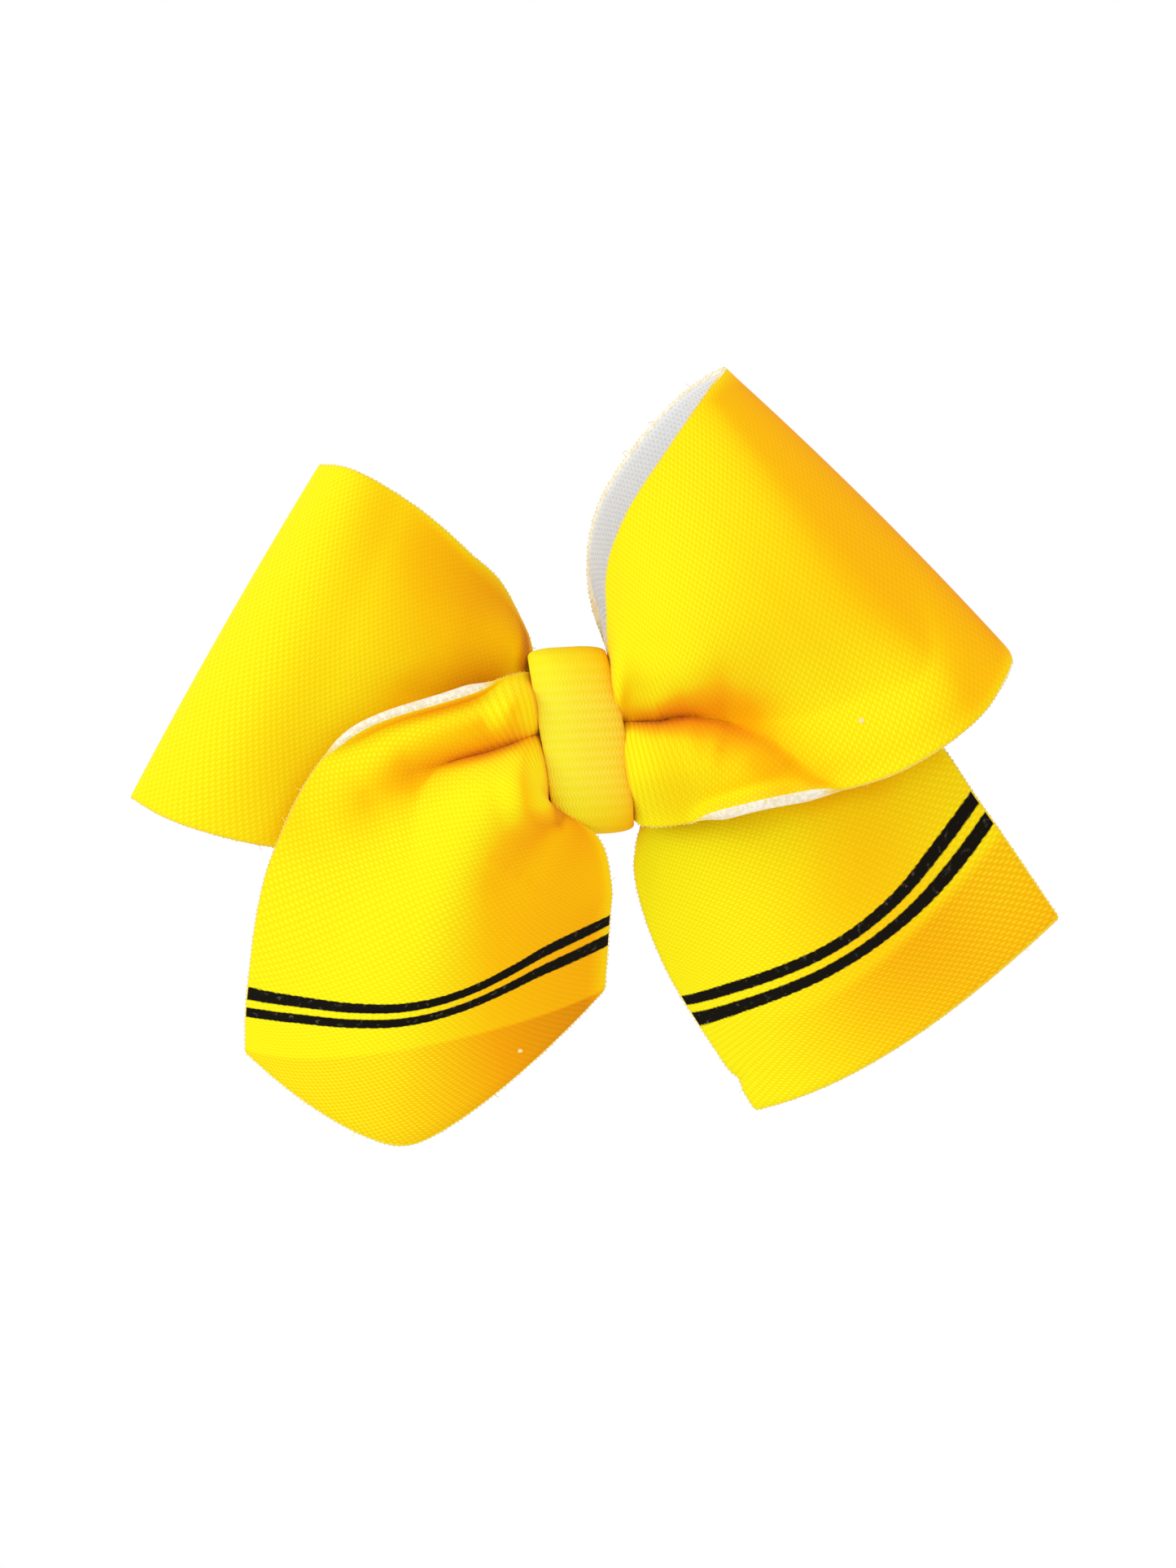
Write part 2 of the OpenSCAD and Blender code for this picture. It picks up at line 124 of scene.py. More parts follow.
def one_less(tree, value):
    """1 minus a value."""
    return calc(tree, "SUBTRACT", 1.0, value)


def wave(tree, value, length):
    """A cosine wave of a given length."""
    return calc(tree, "COSINE", calc(tree, "MULTIPLY", value, 2 * math.pi / length))


def attribute(tree, name):
    """A value that is stored on the points of the mesh."""
    return add(tree, "ShaderNodeAttribute", attribute_name=name).outputs["Fac"]


def flat_mm(tree):
    """The distances along and across the flat cloth, in mm."""
    uv = add(tree, "ShaderNodeUVMap", uv_map="flat_cloth").outputs[0]
    split = add(tree, "ShaderNodeSeparateXYZ", {0: uv})
    return times(tree, split.outputs[0], 1000.0), times(tree, split.outputs[1], 1000.0)


def ramp_colour(tree, value, *stops):
    """A colour that runs through (position, hex colour) stops from 0 to 1."""
    node = add(tree, "ShaderNodeValToRGB", {0: value})
    elements = node.color_ramp.elements
    elements[0].color, elements[1].color = linear(stops[0][1]), linear(stops[-1][1])
    for position, colour in stops[1:-1]:
        elements.new(position).color = linear(colour)
    return node.outputs[0]


def emboss(tree, shader, height, strength, distance, **settings):
    """Lets a height from 0 to 1 roughen a shader's surface by a distance in metres."""
    bump = add(tree, "ShaderNodeBump", {"Strength": strength, "Distance": distance,
        "Height": height}, **settings)
    tree.links.new(bump.outputs[0], shader.inputs["Normal"])


def put(name, data):
    """Puts a mesh, a lamp or a camera into the scene."""
    thing = bpy.data.objects.new(name, data)
    bpy.context.scene.collection.objects.link(thing)
    return thing


# %% [markdown]
# A studio for a small product shot: a white surround that lights every fold evenly, one large
# soft lamp high on the left and a weaker one in front of the bow and above it. The surround is
# seen as pure white by the camera and in reflections, while it lights the cloth at a plain
# level. The floor is a pale disc well below the bow that fades out at its rim.

# %% Studio
KNOT = Vector((0, -14.75, 0)) / 1000
camera_distance, picture_height, sensor_height = 1.6, 0.21799, 24
camera_data = bpy.data.cameras.new("product_camera")
camera = put("product_camera", camera_data)
bpy.context.scene.camera = camera
camera.location = (0.001, KNOT.y - camera_distance, -0.00605)
camera.rotation_euler = (math.radians(90), 0, 0)
camera_data.sensor_fit = "VERTICAL"
camera_data.sensor_height = sensor_height
camera_data.lens = sensor_height * camera_distance / picture_height
camera_data.clip_start = 0.05
bpy.context.scene.view_settings.view_transform = "Standard"

world = bpy.data.worlds.new("white_surround")
bpy.context.scene.world = world
world.use_nodes = True
sky = world.node_tree
sky.nodes.clear()
ray = add(sky, "ShaderNodeLightPath")
seen = calc(sky, "MAXIMUM", ray.outputs["Is Camera Ray"],
    calc(sky, "MAXIMUM", ray.outputs["Is Glossy Ray"], ray.outputs["Is Transmission Ray"]))
surround = 0.93
strength = calc(sky, "ADD", times(sky, seen, 1 - surround), surround)
background = add(sky, "ShaderNodeBackground", {"Color": (1, 1, 1, 1), "Strength": strength})
add(sky, "ShaderNodeOutputWorld", {"Surface": background.outputs[0]})


def soft_lamp(name, place, size, share):
    """A square lamp aimed at the knot; share is the light it adds to a surface facing it."""
    data = bpy.data.lights.new(name, "AREA")
    data.shape = "SQUARE"
    data.size = size
    distance = (Vector(place) - KNOT).length
    data.energy = share * math.pi ** 2 * distance ** 2
    lamp = put(name, data)
    lamp.location = place
    lamp.rotation_euler = (KNOT - Vector(place)).to_track_quat("-Z", "Y").to_euler()


soft_lamp("key_lamp", (-1.7, -0.9, 0.6), 1.0, 0.14)
soft_lamp("front_lamp", (0.3, -2.0, 0.5), 1.2, 0.05)

floor_radius, floor_z = 0.3, -0.165
floor_mesh = bpy.data.meshes.new("studio_floor")
rim = [(floor_radius * math.cos(a), floor_radius * math.sin(a), floor_z)
    for a in np.linspace(0, 2 * math.pi, 64, endpoint=False)]
floor_mesh.from_pydata(rim, [], [list(range(64))])
studio_floor = put("studio_floor", floor_mesh)
floor_paint, tree, shader = new_material("matt_white_floor_paint")
set_up(shader, Base_Color=linear("#F2F2F0"), Roughness=0.9)
place = add(tree, "ShaderNodeTexCoord").outputs["Object"]
flat = add(tree, "ShaderNodeVectorMath", {0: place, 1: (1, 1, 0)}, operation="MULTIPLY")
reach = add(tree, "ShaderNodeVectorMath", {0: flat.outputs[0]}, operation="LENGTH")
fade = add(tree, "ShaderNodeMapRange", {"Value": reach.outputs["Value"], "From Min": 0.12,
    "From Max": 0.29, "To Min": 0, "To Max": 1}, interpolation_type="SMOOTHSTEP")
clear = add(tree, "ShaderNodeBsdfTransparent")
mixed = add(tree, "ShaderNodeMixShader", {0: fade.outputs[0], 1: shader.outputs[0],
    2: clear.outputs[0]})
tree.links.new(mixed.outputs[0], tree.nodes["Material Output"].inputs["Surface"])
floor_mesh.materials.append(floor_paint)

# %% [markdown]
# ## The strip
# The strip is 57 mm wide double knit, printed on one face and white on the other. Its route is
# drawn as the model draws it: stations across the strip, each with its two cut edges, the
# swell of its middle and its share of the knot's pleats. The route crosses the knot three
# times: left tail, right loop, left loop, right tail. Distances here are in millimetres from
# the centre of the knot, as a bow maker would measure them.

# %% Sizes of the strip and the knot
STRIP_W, CLOTH_T, PINCH_T = 57.0, 1.5, 1.0
PINCH_H, PLEAT_D, LAYER_PITCH, POINT_D = 17.4, 3.6, 2.3, 10.3
LEAN = math.tan(math.radians(9.2))
WRAP_W, WRAP_T, WRAP_CROWN = 10.9, 2.4, 0.35
THREAD_D, THREAD_TURNS, THREAD_PITCH = 0.6, 5, 0.8
THREAD_Y, THREAD_Z = 5.6, 9.7
WRAP_Y, WRAP_Z = 7.4, 11.5


def loose(edge_a, edge_b, swell, pleat=0.0, valley=0.5, point=0.0):
    """A station where the strip lies free."""
    return [*edge_a, *edge_b, *swell, pleat, valley, point]


def layer_y(layer):
    return PLEAT_D / 2 + layer * LAYER_PITCH


def gathered(x, layer):
    """A station inside the knot; layer -1 is the front one and 1 the rear."""
    lean = PINCH_H / 2 * LEAN
    return [x - lean, layer_y(layer), PINCH_H / 2, x + lean, layer_y(layer), -PINCH_H / 2,
        0, 0, 0, 1, 0.5, 0]


def beside(side, layer, forward, gap_a, top, gap_b, low, pleat, valley=0.5):
    """A station just outside the wrap."""
    y = layer_y(layer) - forward
    return [side * (WRAP_W / 2 + gap_a) - top * LEAN, y, top,
        side * (WRAP_W / 2 + gap_b) - low * LEAN, y, low, 0, 0, 0, pleat, valley, 0]


def before_wrap(x, z):
    """The left tail's inner edge where it passes in front of the wrap."""
    return [x, -WRAP_Y - WRAP_T / 2 - WRAP_CROWN - 1, z]


# %% Stations along the strip
knot_half = WRAP_W / 2 - 0.2
left_tail = [
    loose([-46, -7.5, -43], [2.9, -7.5, -34.5], [0, -5.5, -6.5], 0, 0.45, 1),
    loose([-45.7, -8.5, -35], [3.5, -8.8, -25.5], [0, -6, -6], 0, 0.45),
    loose([-42.4, -11, -16.2], [3.8, -10.2, -19.6], [0, -4, -2], 0.2, 0.42),
    loose([-32.5, -12, 0.4], before_wrap(1.9, -13.4), [0, -3, 0], 0.7, 0.365),
    loose([-17.8, -9.5, 6.2], before_wrap(-2.8, -10.9), [0, 0, 0], 0.9, 0.43),
    beside(-1, -1, 4.4, 0.7, 9.1, 0.6, -10.6, 0.95, 0.42)]
right_loop_front = [
    beside(1, -1, 3.8, 0.7, 12.4, 0.9, -11.3, 0.95, 0.42),
    loose([3.8, -6, 22.5], [18, -6, -10.8], [0, -1, 0], 0.9, 0.56),
    loose([6.2, -9, 30.4], [30, -9.5, -8.2], [0, -2.5, 0], 0.67, 0.72),
    loose([12.4, -9.5, 40.3], [45, -10.5, -3.7], [0, -3, 0], 0.28, 0.78),
    loose([17.6, -7, 48], [55.7, -7.5, 4.2], [0, -2, 0], 0.08, 0.8)]
right_loop_back = [
    loose([19.6, -1.5, 51.2], [59.85, -2, 11.05], [0.5, 0, 0.5]),
    loose([15.5, 3, 49], [56.5, 3, 5.5], [0, 1.5, 0]),
    loose([7, 5.5, 39.9], [45, 6.5, -4.5], [0, 3, 0]),
    loose([1.9, 7, 30.4], [30, 8.5, -9.6], [0, 3, 0], 0.1),
    loose([1.3, 8, 21.4], [17.6, 8.8, -11.6], [0, 1, 0], 0.25),
    beside(1, 1, -2.5, 0.8, 10.8, 2, -11, 0.6)]
left_loop_back = [
    beside(-1, 1, -2.5, 1.7, 13, 3.6, -11, 0.67),
    loose([-16, 8, 24], [-20, 8.6, -13], [0, 1, 0], 0.33),
    loose([-24.5, 6.5, 32], [-40, 8, -13.5], [0, 3, 0], 0.05),
    loose([-33, 3, 37.2], [-58, 3.5, -9.8], [0, 1.5, 0])]
left_loop_front = [
    loose([-35.8, -1, 37.8], [-61.8, -1.5, -8], [-0.5, 0, 0]),
    loose([-33, -4.5, 37.6], [-57.8, -5, -10.3], [0, -1.5, 0]),
    loose([-24.5, -5.5, 33.2], [-42, -6.5, -14.6], [0, -2.2, 0], 0.17),
    loose([-15.8, -3.5, 26], [-24, -4, -14], [0, -1.2, 0], 0.45),
    loose([-10.5, 0.2, 19.6], [-11.5, 0.4, -12.2], [0, 0, 0], 0.6, 0.48),
    beside(-1, 0, 0, 1.5, 12.2, 2.7, -10.4, 0.8, 0.49)]
right_tail = [
    beside(1, 0, -0.2, 5.4, 9.4, 1.3, -10.6, 0.85),
    loose([22, 1, 8], [7.6, 2, -17], [0, 0, 0], 0.45),
    loose([37, 0, 5.2], [9.4, 1.5, -25], [0, -1.5, -0.5], 0.17),
    loose([48.6, 0, 0.5], [12.4, 0.8, -32], [0, -3, -4]),
    loose([54.9, 0.5, -8.1], [14.7, 0.5, -36], [-0.5, -4, -7.3]),
    loose([66.2, 2, -24.7], [24.5, 0, -51], [-1.5, -4, -4.5])]
panels = {}
stations = []
for name, part in [("left_tail", left_tail),
        ("knot_front", [gathered(x * knot_half, -1) for x in (-1, 0, 1)]),
        ("right_loop_front", right_loop_front), ("right_loop_back", right_loop_back),
        ("knot_rear", [gathered(-x * knot_half, 1) for x in (-1, 0, 1)]),
        ("left_loop_back", left_loop_back), ("left_loop_front", left_loop_front),
        ("knot_middle", [gathered(x * knot_half, 0) for x in (-1, 0, 1)]),
        ("right_tail", right_tail)]:
    panels[name] = (len(stations), len(stations) + len(part) - 1)
    stations += part
stations = np.array(stations, float)
print(len(stations), "stations")

# %% [markdown]
# A smooth curve through the stations (a Hermite spline, as in the model) gives the middle
# surface of the strip: rows of points about a millimetre apart along it, closer by the wrap,
# and columns three quarters of a millimetre apart across it. The pleats are sharper in their
# valleys than on their backs. The same grid later carries the flat measures of the cloth,
# along the strip and across it, which place the knit and the printed stripes.

# %% Middle surface
COLUMNS = 77


def ease(share):
    """A share from 0 to 1 that starts and ends softly."""
    return share * share * (3 - 2 * share)


def hermite(stations, step):
    """Rows between the stations about step apart, closer by the wrap, and each row's place."""
    gaps = (np.linalg.norm(np.diff(stations[:, 0:3], axis=0), axis=1)
        + np.linalg.norm(np.diff(stations[:, 3:6], axis=0), axis=1)) / 2
    last = len(stations) - 1
    slopes = []
    for i in range(last + 1):
        left, right = max(i, 1) - 1, min(i, last - 1)
        before = (stations[left + 1] - stations[left]) / gaps[left]
        after = (stations[right + 1] - stations[right]) / gaps[right]
        weight = gaps[left] / (gaps[left] + gaps[right])
        slopes.append(before * (1 - weight) + after * weight)
    rows, places = [], []
    for i in range(last):
        by_wrap = abs(stations[i:i + 2, [0, 3]].mean()) < WRAP_W
        count = max(2, round(gaps[i] / (step * (0.4 if by_wrap else 1))))
        for t in np.arange(count) / count:
            rows.append(stations[i] * (2 * t**3 - 3 * t**2 + 1)
                + slopes[i] * gaps[i] * (t**3 - 2 * t**2 + t)
                + stations[i + 1] * (3 * t**2 - 2 * t**3)
                + slopes[i + 1] * gaps[i] * (t**3 - t**2))
            places.append(i + t)
    return np.array(rows + [stations[-1]]), np.array(places + [last])


def point_share(v):
    """How far the cut point reaches at v across the tail, rounded at its tip."""
    r = 0.02
    return (math.sqrt(1 + r) - np.sqrt((2 * v - 1) ** 2 + r)) / (math.sqrt(1 + r) - math.sqrt(r))


rows, row_place = hermite(stations, 1.0)
v = np.linspace(0, 1, COLUMNS)
valley = rows[:, 10:11]
w = np.where(v < valley, v / valley, 1 + (v - valley) / (1 - valley))
smooth = (1 - np.cos(2 * math.pi * w)) / 2
sharp = (np.sqrt(np.sin(math.pi * w) ** 2 + 0.01) - 0.1) / 0.905
pleats = np.where(np.abs(w - 1) < 0.5, sharp, smooth)
V = v[None, :, None]
middle = (rows[:, None, 0:3] * (1 - V) + rows[:, None, 3:6] * V
    + rows[:, None, 6:9] * 4 * V * (1 - V))
middle[..., 1] -= PLEAT_D * rows[:, 9:10] * pleats
tip = rows[:, 11:12] * POINT_D * point_share(v)
middle[..., 0] -= 0.2 * tip
middle[..., 2] -= tip
print("strip grid", middle.shape[:2])

# %% [markdown]
# The gathers are what makes a bow look sewn: the cloth swells out as soon as it leaves the
# wrap, sharp creases run out from the knot and open into soft valleys, and the cut edges curl.
# Cloth simulation would find such folds by chance; here each one is placed, because this bow's
# folds are what it is known by. A crease is a line over one panel with a depth and a width at
# each of its points; a sharp one has a V section and a soft one a rounded section.

# %% Folds
X, Z = middle[..., 0], middle[..., 2]


def panel_mask(name, soft=1.0):
    """1 on the rows of one panel, falling to 0 over soft stations past each of its ends."""
    first, last = panels[name]
    rise = np.clip((row_place - first) / soft + 1, 0, 1)
    drop = np.clip((last - row_place) / soft + 1, 0, 1)
    return ease(np.minimum(rise, drop))[:, None]


def near_line(points, x, z):
    """Distance from a line seen from the front, and the line's other values there."""
    points = np.array(points, float)
    best = np.full(x.shape, 1e9)
    values = np.zeros(x.shape + (points.shape[1] - 2,))
    for p, q in zip(points[:-1], points[1:]):
        d = q[:2] - p[:2]
        t = np.clip(((x - p[0]) * d[0] + (z - p[1]) * d[1]) / (d @ d), 0, 1)
        distance = np.hypot(x - p[0] - t * d[0], z - p[1] - t * d[1])
        closer = distance < best
        best = np.where(closer, distance, best)
        values[closer] = (p[2:] + t[closer, None] * (q[2:] - p[2:]))
    return best, values


creases = []


def crease(panel, points, sharp):
    """Pushes a panel back (depth above 0) or forward along a line of (x, z, depth, width)."""
    creases.append((panel, points, sharp))
    distance, values = near_line(points, X, Z)
    ratio = distance / np.maximum(values[..., 1], 0.1)
    soft_section = np.exp(-ratio ** 2)
    sharp_section = np.exp(-np.sqrt(ratio ** 2 + 0.02))
    section = sharp_section if sharp else soft_section
    middle[..., 1] += panel_mask(panel) * values[..., 0] * section


level_with_wrap = np.clip((WRAP_Z + 1.5 - np.abs(Z)) / 4, 0, 1)


def swell_beside_wrap(panel, side, amount, reach):
    """The cloth's lobes come forward as soon as they are out of the wrap."""
    out = side * (X + Z * LEAN) - WRAP_W / 2
    rise = np.clip((out + 0.8) / 0.9, 0, 1)
    fall = np.clip((out - 3) / reach, 0, 1)
    share = ease(rise) * (1 - ease(fall)) * level_with_wrap
    middle[..., 1] -= panel_mask(panel, 0.5) * amount * share * (0.25 + 0.75 * pleats)


def nudge(panel, x, z, radius, move):
    """Moves the cloth round one spot."""
    share = panel_mask(panel) * np.exp(-((X - x) ** 2 + (Z - z) ** 2) / radius ** 2)
    middle[...] += share[..., None] * np.array(move)


turned_out = np.repeat(panel_mask("right_loop_back") + panel_mask("left_loop_back"), COLUMNS, 1)


def curl(panel, edge, x_from, x_to, amount, width=0.1):
    """Curls a cut edge forward between two places along X."""
    side = v if edge == "a" else 1 - v
    column = 0 if edge == "a" else -1
    place = X[:, column]
    fade = np.clip((place - x_from) / 5, 0, 1) * np.clip((x_to - place) / 5, 0, 1)
    fade = ease(fade)[:, None]
    lift = np.clip(1 - side / width, 0, 1)[None, :] ** 2
    middle[..., 1] -= panel_mask(panel) * fade * amount * lift
    if amount > 0:
        turned_out[...] = np.maximum(turned_out, panel_mask(panel) * fade * (side < 0.5)[None, :])


swell_beside_wrap("right_loop_front", 1, 1.6, 13)
swell_beside_wrap("left_tail", -1, 1.7, 5)
crease("right_loop_front", [(5, 2.4, 1.4, 1.0), (11, 2.5, 2.2, 1.6), (15, 3.8, 3.0, 3.0),
    (20, 4.2, 3.4, 4.2), (26, 1.6, 2.4, 5.0), (31, -2.5, 1.6, 6), (35, -7.0, 0.6, 7)], False)
crease("right_loop_front", [(5, 2.4, 1.6, 0.8), (11, 2.5, 1.8, 0.9), (15.7, 3.3, 1.3, 0.9),
    (19.8, 2.3, 1.2, 0.9), (21.6, 1.2, 1.0, 0.9), (26, -0.8, 0.8, 1.0), (30.1, -3.7, 0.6, 1.1),
    (32, -5.6, 0.3, 1.2)], True)
crease("left_tail", [(-4.6, 1.5, 1.0, 0.6), (-8.8, -0.4, 1.5, 0.8), (-13.5, -2.0, 1.7, 1.0),
    (-18, -3.0, 1.2, 1.4), (-23, -4.1, 0.5, 1.8)], True)
crease("left_tail", [(-13, -2.0, 0.2, 3), (-18, -3.6, 1.2, 4), (-23, -5.4, 2.4, 5),
    (-29, -8.4, 3.0, 6), (-34, -12, 2.0, 7)], False)
crease("left_tail", [(-2.4, -9.5, 1.0, 1.6), (-6.5, -14, 0.8, 2.6), (-11, -18.5, 0.5, 4.0)], False)
crease("left_tail", [(-9, -5, -1.2, 4), (-16, -14, -2.4, 7), (-22, -26, -2.4, 9),
    (-26, -36, -1.6, 10)], False)
curl("left_tail", "a", -36, -11, 3.6)
curl("left_tail", "a", -13, -3, -1.4)
curl("left_loop_front", "a", -16, -5, -1.0, 0.06)
curl("right_loop_front", "b", 15, 36, 3.4)
curl("right_loop_front", "b", 15, 30, 1.8, 0.07)
nudge("left_tail", 8, -24, 19, (0, 5.0, 0))
nudge("right_loop_front", 36, 1, 12, (0, 5.0, 0))
nudge("right_loop_front", 25, 4, 8, (0, 3.2, 0))
nudge("right_loop_front", 24.5, -9, 6.5, (0, -0.6, 0.5))
nudge("left_loop_front", -14, 22, 15, (0, 3.0, 0))
nudge("left_loop_front", -34, -4, 11, (0, 2.8, 0))
nudge("right_tail", 25, -22, 20, (0, -3.2, 0))
nudge("right_tail", 47, -15, 17, (0, 4.0, 0))
nudge("left_loop_front", -9, 13.5, 4.5, (1.9, 0, 0.3))
nudge("left_tail", -6.6, 0.7, 1.7, (0, -1.6, 0))
nudge("right_loop_front", 6.2, 2.3, 1.6, (0, -1.6, 0))
nudge("right_tail", 22.3, -46.9, 1.2, (0.55, 0.3, 0.2))


def round_corner(corner, radius, side_a, side_b):
    """Eases an outer corner, seen from the front, to a radius."""
    side_a, side_b = (np.array(n) / np.hypot(*n) for n in (side_a, side_b))
    centre = np.array(corner) - radius * (side_a + side_b) / (1 + side_a @ side_b)
    offset = middle[..., [0, 2]] - centre
    away = np.hypot(offset[..., 0], offset[..., 1]) + 1e-9
    toward_a, toward_b = offset @ side_a / away, offset @ side_b / away
    between = np.minimum(toward_a, toward_b) > side_a @ side_b
    along = np.maximum(toward_a, toward_b)
    reach = np.clip(away * along / radius, 0, 1)
    ease = np.where(between & (away < 2 * radius), 1 - reach ** 2 * (1 - along), 1)
    middle[..., [0, 2]] = centre + offset * ease[..., None]


round_corner((59.85, 11.05), 3.0, (0.75, 0.66), (0.888, -0.46))

# %% [markdown]
# A sheet of cloth is drawn as a closed skin with its real thickness: the printed face in
# front, the white reverse behind, and a narrow rounded cut edge all the way round. Each face
# has its own material slot. The flat measures go into a UV map in metres, so a stitch keeps
# its size wherever the cloth folds.

# %% Cloth skin
def unit(vectors):
    """Vectors scaled to a length of 1."""
    return vectors / np.maximum(np.linalg.norm(vectors, axis=-1, keepdims=True), 1e-9)


def from_knot(points):
    """Points in mm from the knot's centre as places in metres."""
    return points / 1000 + np.array(KNOT)


def run_along(line):
    """The distance along a line at each of its points."""
    return np.concatenate([[0], np.cumsum(np.linalg.norm(np.diff(line, axis=0), axis=1))])


def evened(line, count):
    """A line with evenly spaced points, and the distance along it at each."""
    run = run_along(line)
    even = np.linspace(0, run[-1], count)
    return np.stack([np.interp(even, run, line[:, n]) for n in range(3)], axis=-1), even


def smoothed(line, rounds):
    """A line with its corners eased and its ends kept."""
    for _ in range(rounds):
        line[1:-1] = (line[:-2] + 2 * line[1:-1] + line[2:]) / 4
    return line


def sheet_normals(middle):
    """Normals of a grid of points, away from the printed face."""
    along = np.gradient(middle, axis=0)
    across = np.gradient(middle, axis=1)
    return unit(np.cross(along, across))


def over_skin(grid):
    """A value per grid point, in the order of the points of a cloth skin."""
    ring = np.concatenate([grid, np.repeat(grid[:, -1:], 3, 1), grid[:, ::-1],
        np.repeat(grid[:, :1], 3, 1)], axis=1).ravel()
    return np.concatenate([ring, np.repeat(grid[0], 3), np.repeat(grid[-1], 3)])


def cloth_skin(name, middle, half, flat_s, flat_t, bulge=0.45):
    """A closed sheet over a grid in mm; half is half the thickness of each row or point."""
    count, columns = middle.shape[:2]
    normal = sheet_normals(middle)
    thick = (half.reshape(count, -1) * np.ones(columns))[..., None]
    along, across = np.gradient(middle, axis=0), np.gradient(middle, axis=1)

    def cut(border, out):
        """Three points round the cut edge at each grid point of a border."""
        return np.stack([middle[border] + thick[border] * (math.sin(a) * normal[border]
            + bulge * math.cos(a) * out) for a in np.radians((-45, 0, 45))], axis=1)

    edge_a = cut(np.s_[:, 0], -unit(across[:, 0]))
    edge_b = cut(np.s_[:, -1], unit(across[:, -1]))
    ring = np.concatenate([middle - thick * normal, edge_b, (middle + thick * normal)[:, ::-1],
        edge_a[:, ::-1]], axis=1)
    size = ring.shape[1]
    points = ring.reshape(-1, 3)
    i = np.arange(count - 1)[:, None] * size
    j = np.arange(size)[None, :]
    k = (j + 1) % size
    faces = np.stack([i + j, i + size + j, i + size + k, i + k], axis=-1).reshape(-1, 4).tolist()
    slot_of = np.full(size, 2)
    slot_of[:columns - 1] = 0
    slot_of[columns + 3:2 * columns + 2] = 1
    slots = np.tile(slot_of, count - 1).tolist()
    for row, sign in ((0, -1), (count - 1, 1)):
        start, base = len(points), row * size
        points = np.concatenate([points, cut(row, sign * unit(along[row])).reshape(-1, 3)])

        def ladder(column):
            """The five points from the printed face to the reverse at one place of the end."""
            if column < 0:
                return [base] + [base + size - 1 - n for n in range(3)] + [base + 2 * columns + 2]
            if column == columns:
                return [base + columns - 1 + n for n in range(5)]
            return ([base + column] + [start + 3 * column + n for n in range(3)]
                + [base + 2 * columns + 2 - column])

        for column in range(-1, columns):
            left, right = ladder(column), ladder(column + 1)
            for n in range(4):
                face = [left[n], right[n], right[n + 1], left[n + 1]]
                face = [p for m, p in enumerate(face) if p not in face[:m]]
                if len(face) > 2:
                    faces.append(face if sign < 0 else face[::-1])
                    slots.append(2)
    mesh = bpy.data.meshes.new(name)
    mesh.from_pydata(from_knot(points).tolist(), [], faces)
    mesh.polygons.foreach_set("material_index", np.array(slots, np.int32))
    mesh.polygons.foreach_set("use_smooth", np.ones(len(faces), bool))
    flat = np.stack([over_skin(flat_s), over_skin(flat_t)], axis=1) / 1000
    corner = np.empty(len(mesh.loops), np.int32)
    mesh.loops.foreach_get("vertex_index", corner)
    mesh.uv_layers.new(name="flat_cloth").data.foreach_set("uv", flat[corner].ravel())
    mesh.update()
    return put(name, mesh)


def area_of(middle):
    """Area of a grid of points, in square mm."""
    a = np.diff(middle, axis=0)[:, :-1]
    b = np.diff(middle, axis=1)[:-1]
    return float(np.linalg.norm(np.cross(a, b), axis=-1).sum())


# %% Flat measures
steps = np.linalg.norm(np.diff(middle, axis=0), axis=-1)
along = np.concatenate([[0], np.cumsum(steps[:, 4:-4].mean(axis=1))])
flat_s = along[:, None] - 1.02 * tip
flat_t = np.tile(v * STRIP_W, (len(middle), 1))
thickness = CLOTH_T + (PINCH_T - CLOTH_T) * np.clip(rows[:, 9], 0, 1)
strip_length = along[-1]
print("strip length", round(strip_length, 1), "mm; area", round(area_of(middle)), "sq mm")
edge_share = np.clip(1 - np.minimum(v, 1 - v) / 0.06, 0, 1)
half_thick = (thickness / 2)[:, None] + 0.4 * np.clip(turned_out, 0, 1) * edge_share ** 2 * (
    np.clip(1 - np.abs(middle[..., 1] + 9) / 8, 0, 1))
bow_strip = cloth_skin("knit_strip", middle, half_thick, flat_s, flat_t)
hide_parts("bow_strip")
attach(bow_strip, "bow")

# %% [markdown]
# Thick knit turns deeper in colour where it dips into the gathers or rolls away from the
# side the light comes from, because the light that reaches it there has bounced off more
# yellow cloth. Here that shade is painted into the cloth's colour. Rays cast from every third
# point of the printed face, each way, measure how open it lies, its slope says which way it
# rolls, the cloth beside the wrap gets deeper painted shade still, and each crease adds its own
# painted shade. All of these go into one attribute of painted shade that the printed colour
# reads. The constants were tuned until the front's broad pattern of colour came near to the
# real bow's in light from its left, so the painted shade stays the same in any other light.

# %% Painted shade of the folds
def openness(piece, points, normals, reach=0.03, rays=20):
    """The share of rays from each point that leave the piece."""
    tree = BVHTree.FromObject(piece, bpy.context.evaluated_depsgraph_get())
    rng = np.random.default_rng(5)
    u, w = rng.random(rays), rng.random(rays) * 2 * math.pi
    local = np.stack([np.sqrt(u) * np.cos(w), np.sqrt(u) * np.sin(w), np.sqrt(1 - u)], axis=1)
    free = np.zeros(len(points))
    for i, (point, normal) in enumerate(zip(points, normals)):
        axis = Vector(normal)
        side = axis.orthogonal().normalized()
        top = axis.cross(side)
        start = Vector(point) + axis * 0.0003
        for a, b, c in local:
            if tree.ray_cast(start, side * a + top * b + axis * c, reach)[0] is None:
                free[i] += 1
    return free / rays
